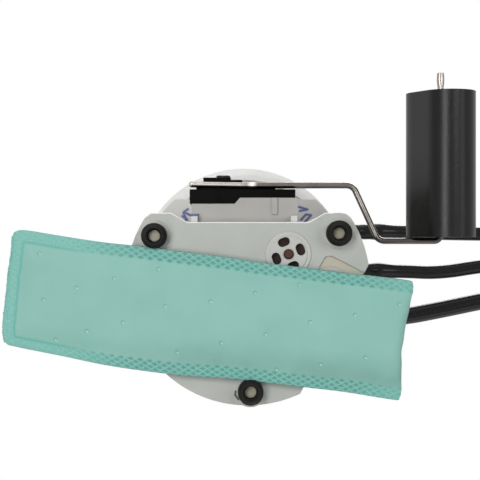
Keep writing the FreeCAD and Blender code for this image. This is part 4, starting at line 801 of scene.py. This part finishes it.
def sockMaterial(name, look):
    material, tree, shader, place, bump = startMaterial(name, 0)
    calc, mix, rise = partial(nodeSum, tree), partial(mixColour, tree), partial(ramp, tree)
    run = split(tree, addNode(tree, "ShaderNodeUVMap", uv_map="clothRun").outputs[0])
    long, wide = run["X"], run["Y"]
    level = vectorSum(tree, "MULTIPLY", place, (1.0, 1.0, 0.0))
    band, shown, cut = (addNode(tree, "ShaderNodeAttribute", attribute_name=label).outputs["Fac"]
                        for label in ("crimpBand", "crimpShow", "cutEdgeAndShadow"))

    def threadWave(socket):
        turn = calc("MULTIPLY", socket, 2 * math.pi / look["threads"])
        return calc("MULTIPLY_ADD", calc("SINE", turn), 0.5, 0.5)

    def latticeWave(way):
        across = calc("MULTIPLY", wide, way * 1000 / sock["cellWide"])
        turns = calc("FRACT", calc("MULTIPLY_ADD", long, 1000 / sock["cellLong"], across))
        return calc("MULTIPLY", calc("ABSOLUTE", calc("SUBTRACT", turns, 0.5)), 2.0)

    def nearestWeld(aside):
        ways = [vectorSum(tree, "DISTANCE", level, (x / 1000 + aside, y / 1000 + aside, 0))
                for x, y in sock["welds"]]
        return reduce(partial(calc, "MINIMUM"), ways)

    weave = calc("MAXIMUM", threadWave(long), threadWave(wide))
    lattice = calc("MAXIMUM", latticeWave(1), latticeWave(-1))
    pit = calc("SUBTRACT", 1.0, rise(lattice, *look["pitRamp"]))
    cloud, fray = noiseAt(tree, place, 45.0, 4.0), noiseAt(tree, place, 1000.0, 3.0)

    # the plain cloth, with painted shade making it a little darker towards its lower right corner
    colour = mix(rise(cloud, *look["cloudRamp"]), look["body"], look["bodyCloud"])
    colour = mix(calc("MULTIPLY", weave, look["threadShare"]), colour, look["thread"])
    paintedShadeLow = calc("MULTIPLY", rise(wide, *look["shadeWide"]), rise(long, *look["shadeLong"]))
    colour = mix(calc("MULTIPLY", paintedShadeLow, calc("MULTIPLY_ADD", cloud, 1.2, -0.2)), colour, look["shade"])

    # the crimped band with its lattice of pits, light flecks as painted glints, dark flecks, and a seam on
    # its inner side
    pits = calc("MULTIPLY", calc("MULTIPLY", pit, rise(fray, *look["frayRamp"])), shown)
    crimp = mix(pits, look["ridge"], look["pit"])
    crimp = mix(calc("MULTIPLY", rise(fray, *look["glintFlecks"]), look["glintFleckShare"]), crimp, look["glint"])
    crimp = mix(calc("MULTIPLY", rise(fray, *look["darkFlecks"]), look["darkShare"]), crimp, look["pit"])
    colour = mix(band, colour, crimp)
    seam = calc("MULTIPLY", calc("MULTIPLY", band, calc("SUBTRACT", 1.0, band)),
                calc("SUBTRACT", 5.0, calc("MULTIPLY", shown, 12.0)), clamp=True)
    colour = mix(seam, colour, look["seam"])
    # a dark line along the top edge: partly the cloth's cut edge, partly a painted shadow of that edge
    colour = mix(calc("MULTIPLY", cut, look["edgeShare"]), colour, look["edge"])

    # the fused spots: a dent with a dark rim of painted shade and a painted glint on one side
    nearest = nearestWeld(0.0)
    fromGlint = calc("DIVIDE", nearestWeld(look["glintAside"]), look["glintWide"], clamp=True)
    glint = calc("SUBTRACT", 1.0, fromGlint)
    dent = calc("SUBTRACT", 1.0, calc("DIVIDE", nearest, look["dentWide"], clamp=True))
    rimShade = calc("SUBTRACT", 1.0, calc("ABSOLUTE", calc("MULTIPLY_ADD", nearest, *look["rimRamp"])), clamp=True)
    colour = mix(calc("MULTIPLY", rimShade, look["rimShare"]), colour, look["pit"])
    colour = mix(glint, colour, look["glint"])
    smoother = calc("MAXIMUM", calc("MULTIPLY", band, 0.16), calc("MULTIPLY", dent, 0.35))
    relief = calc("SUBTRACT", weave, calc("MULTIPLY", calc("MULTIPLY", pit, band), shown))
    setInputs(bump, {"Height": calc("MULTIPLY_ADD", dent, -5.0, relief), "Strength": look["bump"],
                     "Distance": look["bumpDeep"]})
    setInputs(shader, {
        "Base Color": colour, "Roughness": calc("SUBTRACT", look["roughness"], smoother),
        "Sheen Weight": look["sheen"], "Sheen Roughness": 0.5, "Specular IOR Level": look["specular"]})
    return material


finishes["strainerCloth"] = sockMaterial("strainerCloth", sockFinish)
sockPiece.data.materials.append(finishes["strainerCloth"])


def newTree(name, inputs):
    return newGroup(name, [("Geometry", "Geometry", None), *inputs, ("Finish", "Material", None)],
                    [("Geometry", "Geometry")], "GeometryNodeTree")


def endTree(tree, ins, outs, shape):
    real = addNode(tree, "GeometryNodeRealizeInstances", {0: shape})
    finish = addNode(tree, "GeometryNodeSetMaterial", {"Geometry": real.outputs[0],
                                                       "Material": ins["Finish"]})
    setInputs(outs, {0: finish.outputs[0]})


def grown(name, tree, names, values, base=None):
    # the tree's result as a plain mesh piece at the origin
    holder = base or meshPiece(name, [(0, 0, 0)], [])
    modifier = holder.modifiers.new(tree.name, "NODES")
    modifier.node_group = tree
    for label, value in values.items():
        modifier[names[label]] = value
    mesh = plainMesh(holder)
    bpy.data.objects.remove(holder)
    mesh.name = name
    return addObject(name, mesh)


def nubTree():
    # small knots of melted thread along a line
    tree, ins, outs, names = newTree("threadNubs", [("Pitch", "Float", 0.0013), ("Radius", "Float", 0.0005)])
    curve = addNode(tree, "GeometryNodeMeshToCurve", {0: ins["Geometry"]})
    even = addNode(tree, "GeometryNodeResampleCurve", {"Curve": curve.outputs[0], "Length": ins["Pitch"]},
                   mode="LENGTH")
    knot = addNode(tree, "GeometryNodeMeshIcoSphere", {"Subdivisions": 3, "Radius": ins["Radius"]})
    size = addNode(tree, "FunctionNodeRandomValue", {0: (0.75, 0.75, 0.65), 1: (1.15, 1.15, 0.85)},
                   data_type="FLOAT_VECTOR")
    placed = addNode(tree, "GeometryNodeInstanceOnPoints", {
        "Points": even.outputs[0], "Instance": knot.outputs[0], "Scale": size.outputs[0]})
    endTree(tree, ins, outs, placed.outputs[0])
    return tree, names


leftEdge = alongEdge(sock["leftEdge"])[0]
nubShift = Vector((sock["nubInset"], 0, sock["middleZ"]))
edgePoints = [(leftEdge(i / 100) + nubShift) / 1000 for i in range(5, 96)]
edgeHolder = meshPiece("sockEdge", edgePoints, [], [(i, i + 1) for i in range(len(edgePoints) - 1)])
nubs = grown("threadNubs", *nubTree(), {
    "Pitch": sock["nubPitch"] / 1000, "Radius": sock["nubRadius"] / 1000, "Finish": finishes["nubCloth"]},
    edgeHolder)
nubs.data.shade_smooth()
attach(nubs, "reservoir")

# the three springs: round wire, wound closer at both ends
springs = {"low": -0.0828, "high": -0.0162, "wire": 0.0007, "radius": 0.0061, "turns": 7.0, "endTurns": 0.9,
           "travel": 0.034, "places": {"left": (-0.0444, -0.0226), "right": (0.0430, -0.0238),
                                       "rear": (0.0012, 0.0513)}}


def springTree():
    tree, ins, outs, names = newTree("springCoil", [
        ("Centre", "Vector", (0.0, 0.0, 0.0)), ("Radius", "Float", 0.006), ("Wire", "Float", 0.0007),
        ("Height", "Float", 0.06), ("Turns", "Float", 7.0), ("End Turns", "Float", 0.9)])
    calc = partial(nodeSum, tree)
    line = addNode(tree, "GeometryNodeMeshLine", {"Count": 480}, mode="OFFSET")
    curve = addNode(tree, "GeometryNodeMeshToCurve", {0: line.outputs[0]})
    share = addNode(tree, "GeometryNodeSplineParameter").outputs["Factor"]
    allTurns = calc("ADD", ins["Turns"], calc("MULTIPLY", ins["End Turns"], 2.0))
    turn = calc("MULTIPLY", calc("MULTIPLY", share, allTurns), 2 * math.pi)
    endShare = calc("DIVIDE", ins["End Turns"], allTurns)
    rest = calc("SUBTRACT", 1.0, calc("MULTIPLY", endShare, 2.0))
    climb = calc("DIVIDE", calc("SUBTRACT", share, endShare), rest, clamp=True)
    lead = calc("MULTIPLY", ins["Wire"], 2.1)
    lowLead = calc("MULTIPLY", lead, calc("DIVIDE", share, endShare, clamp=True))
    fromHigh = calc("SUBTRACT", share, calc("SUBTRACT", 1.0, endShare))
    highLead = calc("MULTIPLY", lead, calc("DIVIDE", fromHigh, endShare, clamp=True))
    middle = calc("SUBTRACT", ins["Height"], calc("MULTIPLY", ins["Wire"], 6.2))
    height = calc("ADD", calc("ADD", lowLead, highLead), calc("MULTIPLY_ADD", climb, middle, ins["Wire"]))
    spot = addNode(tree, "ShaderNodeCombineXYZ", {
        0: calc("MULTIPLY", calc("COSINE", turn), ins["Radius"]),
        1: calc("MULTIPLY", calc("SINE", turn), ins["Radius"]), 2: height})
    moved = vectorSum(tree, "ADD", spot.outputs[0], ins["Centre"])
    bent = addNode(tree, "GeometryNodeSetPosition", {"Geometry": curve.outputs[0], "Position": moved})
    section = addNode(tree, "GeometryNodeCurvePrimitiveCircle", {"Resolution": 12, "Radius": ins["Wire"]})
    wire = addNode(tree, "GeometryNodeCurveToMesh", {
        "Curve": bent.outputs[0], "Profile Curve": section.outputs[0], "Fill Caps": True})
    endTree(tree, ins, outs, wire.outputs[0])
    return tree, names


coilTree, coilNames = springTree()
for name, (x, y) in springs["places"].items():
    piece = grown(f"spring-{name}", coilTree, coilNames, {
        "Centre": (x, y, springs["low"]), "Radius": springs["radius"], "Wire": springs["wire"],
        "Height": springs["high"] - springs["low"], "Turns": springs["turns"],
        "End Turns": springs["endTurns"], "Finish": finishes["springSteel"]})
    piece.data.shade_smooth()
    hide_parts(f"spring_{name}")
    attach(piece, "flange")
    whole = springs["high"] - springs["low"]
    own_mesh(piece)
print("springs wound")

# convoluted tube from the pump to the flange
feedTube = {"x": 0.026, "y": 0.0005, "low": -0.0987, "high": 0.0028, "wide": 0.0066, "narrow": 0.0052,
            "wall": 0.0010, "mouthDeep": 0.004, "endRound": 0.0003, "folds": 20, "foldSteps": 12,
            "cuffLow": 0.013, "cuffHigh": 0.012, "travel": 0.034, "sides": 36}


def makeFeedTube(tube):
    # a turned profile: a plain cuff, rounded folds, a plain cuff
    low, high, sides = tube["low"], tube["high"], tube["sides"]
    foldLow, foldHigh = low + tube["cuffLow"], high - tube["cuffHigh"]
    steps = tube["folds"] * tube["foldSteps"]
    middle, depth = (tube["wide"] + tube["narrow"]) / 2, (tube["wide"] - tube["narrow"]) / 2
    mouth = tube["narrow"] - tube["wall"]
    rings = [(low + tube["mouthDeep"], mouth), (low, mouth), (low, middle - tube["endRound"]),
             (low + tube["endRound"], middle)]
    for i in range(steps + 1):
        share = i / steps
        wave = math.cos(2 * math.pi * share * tube["folds"])
        rounded = math.copysign(abs(wave) ** 0.6, wave)
        rings.append((foldLow + (foldHigh - foldLow) * share, middle - depth * rounded))
    rings += [(high - tube["endRound"], middle), (high, middle - tube["endRound"]), (high, mouth),
              (high - tube["mouthDeep"], mouth)]
    verts = []
    for z, radius in rings:
        for k in range(sides):
            turn = 2 * math.pi * k / sides
            verts.append((tube["x"] + radius * math.cos(turn), tube["y"] + radius * math.sin(turn), z))
    return meshPiece("feedTube", verts, ringFaces(len(rings), sides))


feedPiece = makeFeedTube(feedTube)
feedPiece.data.materials.append(finishes["blackNylon"])
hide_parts("feed_tube")
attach(feedPiece, "flange")
whole = feedTube["high"] - feedTube["low"]
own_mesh(feedPiece)
print("feed tube made")

# studio: white all round for the camera, an even room light, lamps below, on all sides and above
studio = {"roomLight": 0.15, "aim": (0.05, -0.05, -0.18), "floorZ": -0.1994, "floorWide": 6.0,
          "floorColour": (0.80, 0.80, 0.80)}
lamps = {
    "lampLowLeft": {"place": (-0.35, -0.14, -1.18), "size": (0.9, 0.30), "power": 8.0},
    "lampLeft": {"place": (-0.95, -0.15, 0.12), "size": (0.8, 0.8), "power": 1.4},
    "lampLowRight": {"place": (0.42, 0.82, -0.74), "aim": (0.0, 0.0, -0.15), "size": (0.5, 0.4),
                     "power": 1.0},
    "lampHoses": {"place": (0.50, -0.30, -1.10), "aim": (0.14, 0.0, 0.0), "size": (0.3, 0.3), "power": 1.8},
    "lampRight": {"place": (0.90, -0.15, -0.84), "size": (0.6, 0.28), "power": 1.35},
    "lampFront": {"place": (-0.25, -1.05, -0.04), "aim": (0.0, 0.0, -0.10), "size": (0.8, 0.8), "power": 2.2},
    "lampRear": {"place": (0.25, 1.05, 0.04), "aim": (0.0, 0.0, -0.10), "size": (0.8, 0.8), "power": 2.2},
    "lampAbove": {"place": (0.45, -0.75, 0.85), "aim": (0.0, 0.0, -0.08), "size": (0.7, 0.7), "power": 14.0},
}


def mixShaders(tree, share, first, second, end):
    either = addNode(tree, "ShaderNodeMixShader", {0: share, 1: first.outputs[0], 2: second.outputs[0]})
    setInputs(tree.nodes[end], {0: either.outputs[0]})


world = bpy.data.worlds.new("studioWorld")
scene.world = world
world.use_nodes = True
tree = world.node_tree
calc = partial(nodeSum, tree)
room = tree.nodes["Background"]
setInputs(room, {"Color": (1, 1, 1), "Strength": studio["roomLight"]})
white = addNode(tree, "ShaderNodeBackground", {"Color": (1, 1, 1), "Strength": 1.0})
path = addNode(tree, "ShaderNodeLightPath").outputs
seenRays = [path[f"Is {kind} Ray"] for kind in ("Camera", "Glossy", "Transmission")]
seen = reduce(partial(calc, "MAXIMUM"), seenRays)
mixShaders(tree, seen, room, white, "World Output")
for name, lamp in lamps.items():
    data = bpy.data.lights.new(name, "AREA")
    data.shape = "RECTANGLE"
    data.size, data.size_y = lamp["size"]
    data.energy = lamp["power"]
    light = addObject(name, data)
    light.location = lamp["place"]
    aim = Vector(lamp.get("aim", studio["aim"])) - light.location
    light.rotation_euler = aim.to_track_quat("-Z", "Y").to_euler()

# the floor shows only from above, because the photograph looks up through it
half = studio["floorWide"] / 2
corners = [(x, y, studio["floorZ"]) for x, y in ((-half, -half), (half, -half), (half, half), (-half, half))]
floor = meshPiece("studioFloor", corners, [(0, 1, 2, 3)], smooth=False)
floorMaterial = bpy.data.materials.new("paleFloor")
floorMaterial.use_nodes = True
tree = floorMaterial.node_tree
shader = tree.nodes["Principled BSDF"]
setInputs(shader, {"Base Color": studio["floorColour"], "Roughness": 0.9})
under = addNode(tree, "ShaderNodeNewGeometry").outputs["Backfacing"]
mixShaders(tree, under, shader, addNode(tree, "ShaderNodeBsdfTransparent"), "Material Output")
floor.data.materials.append(floorMaterial)
floor.visible_diffuse = floor.visible_glossy = floor.visible_transmission = floor.visible_shadow = False
scene.view_settings.view_transform = "Standard"
print("studio lit")
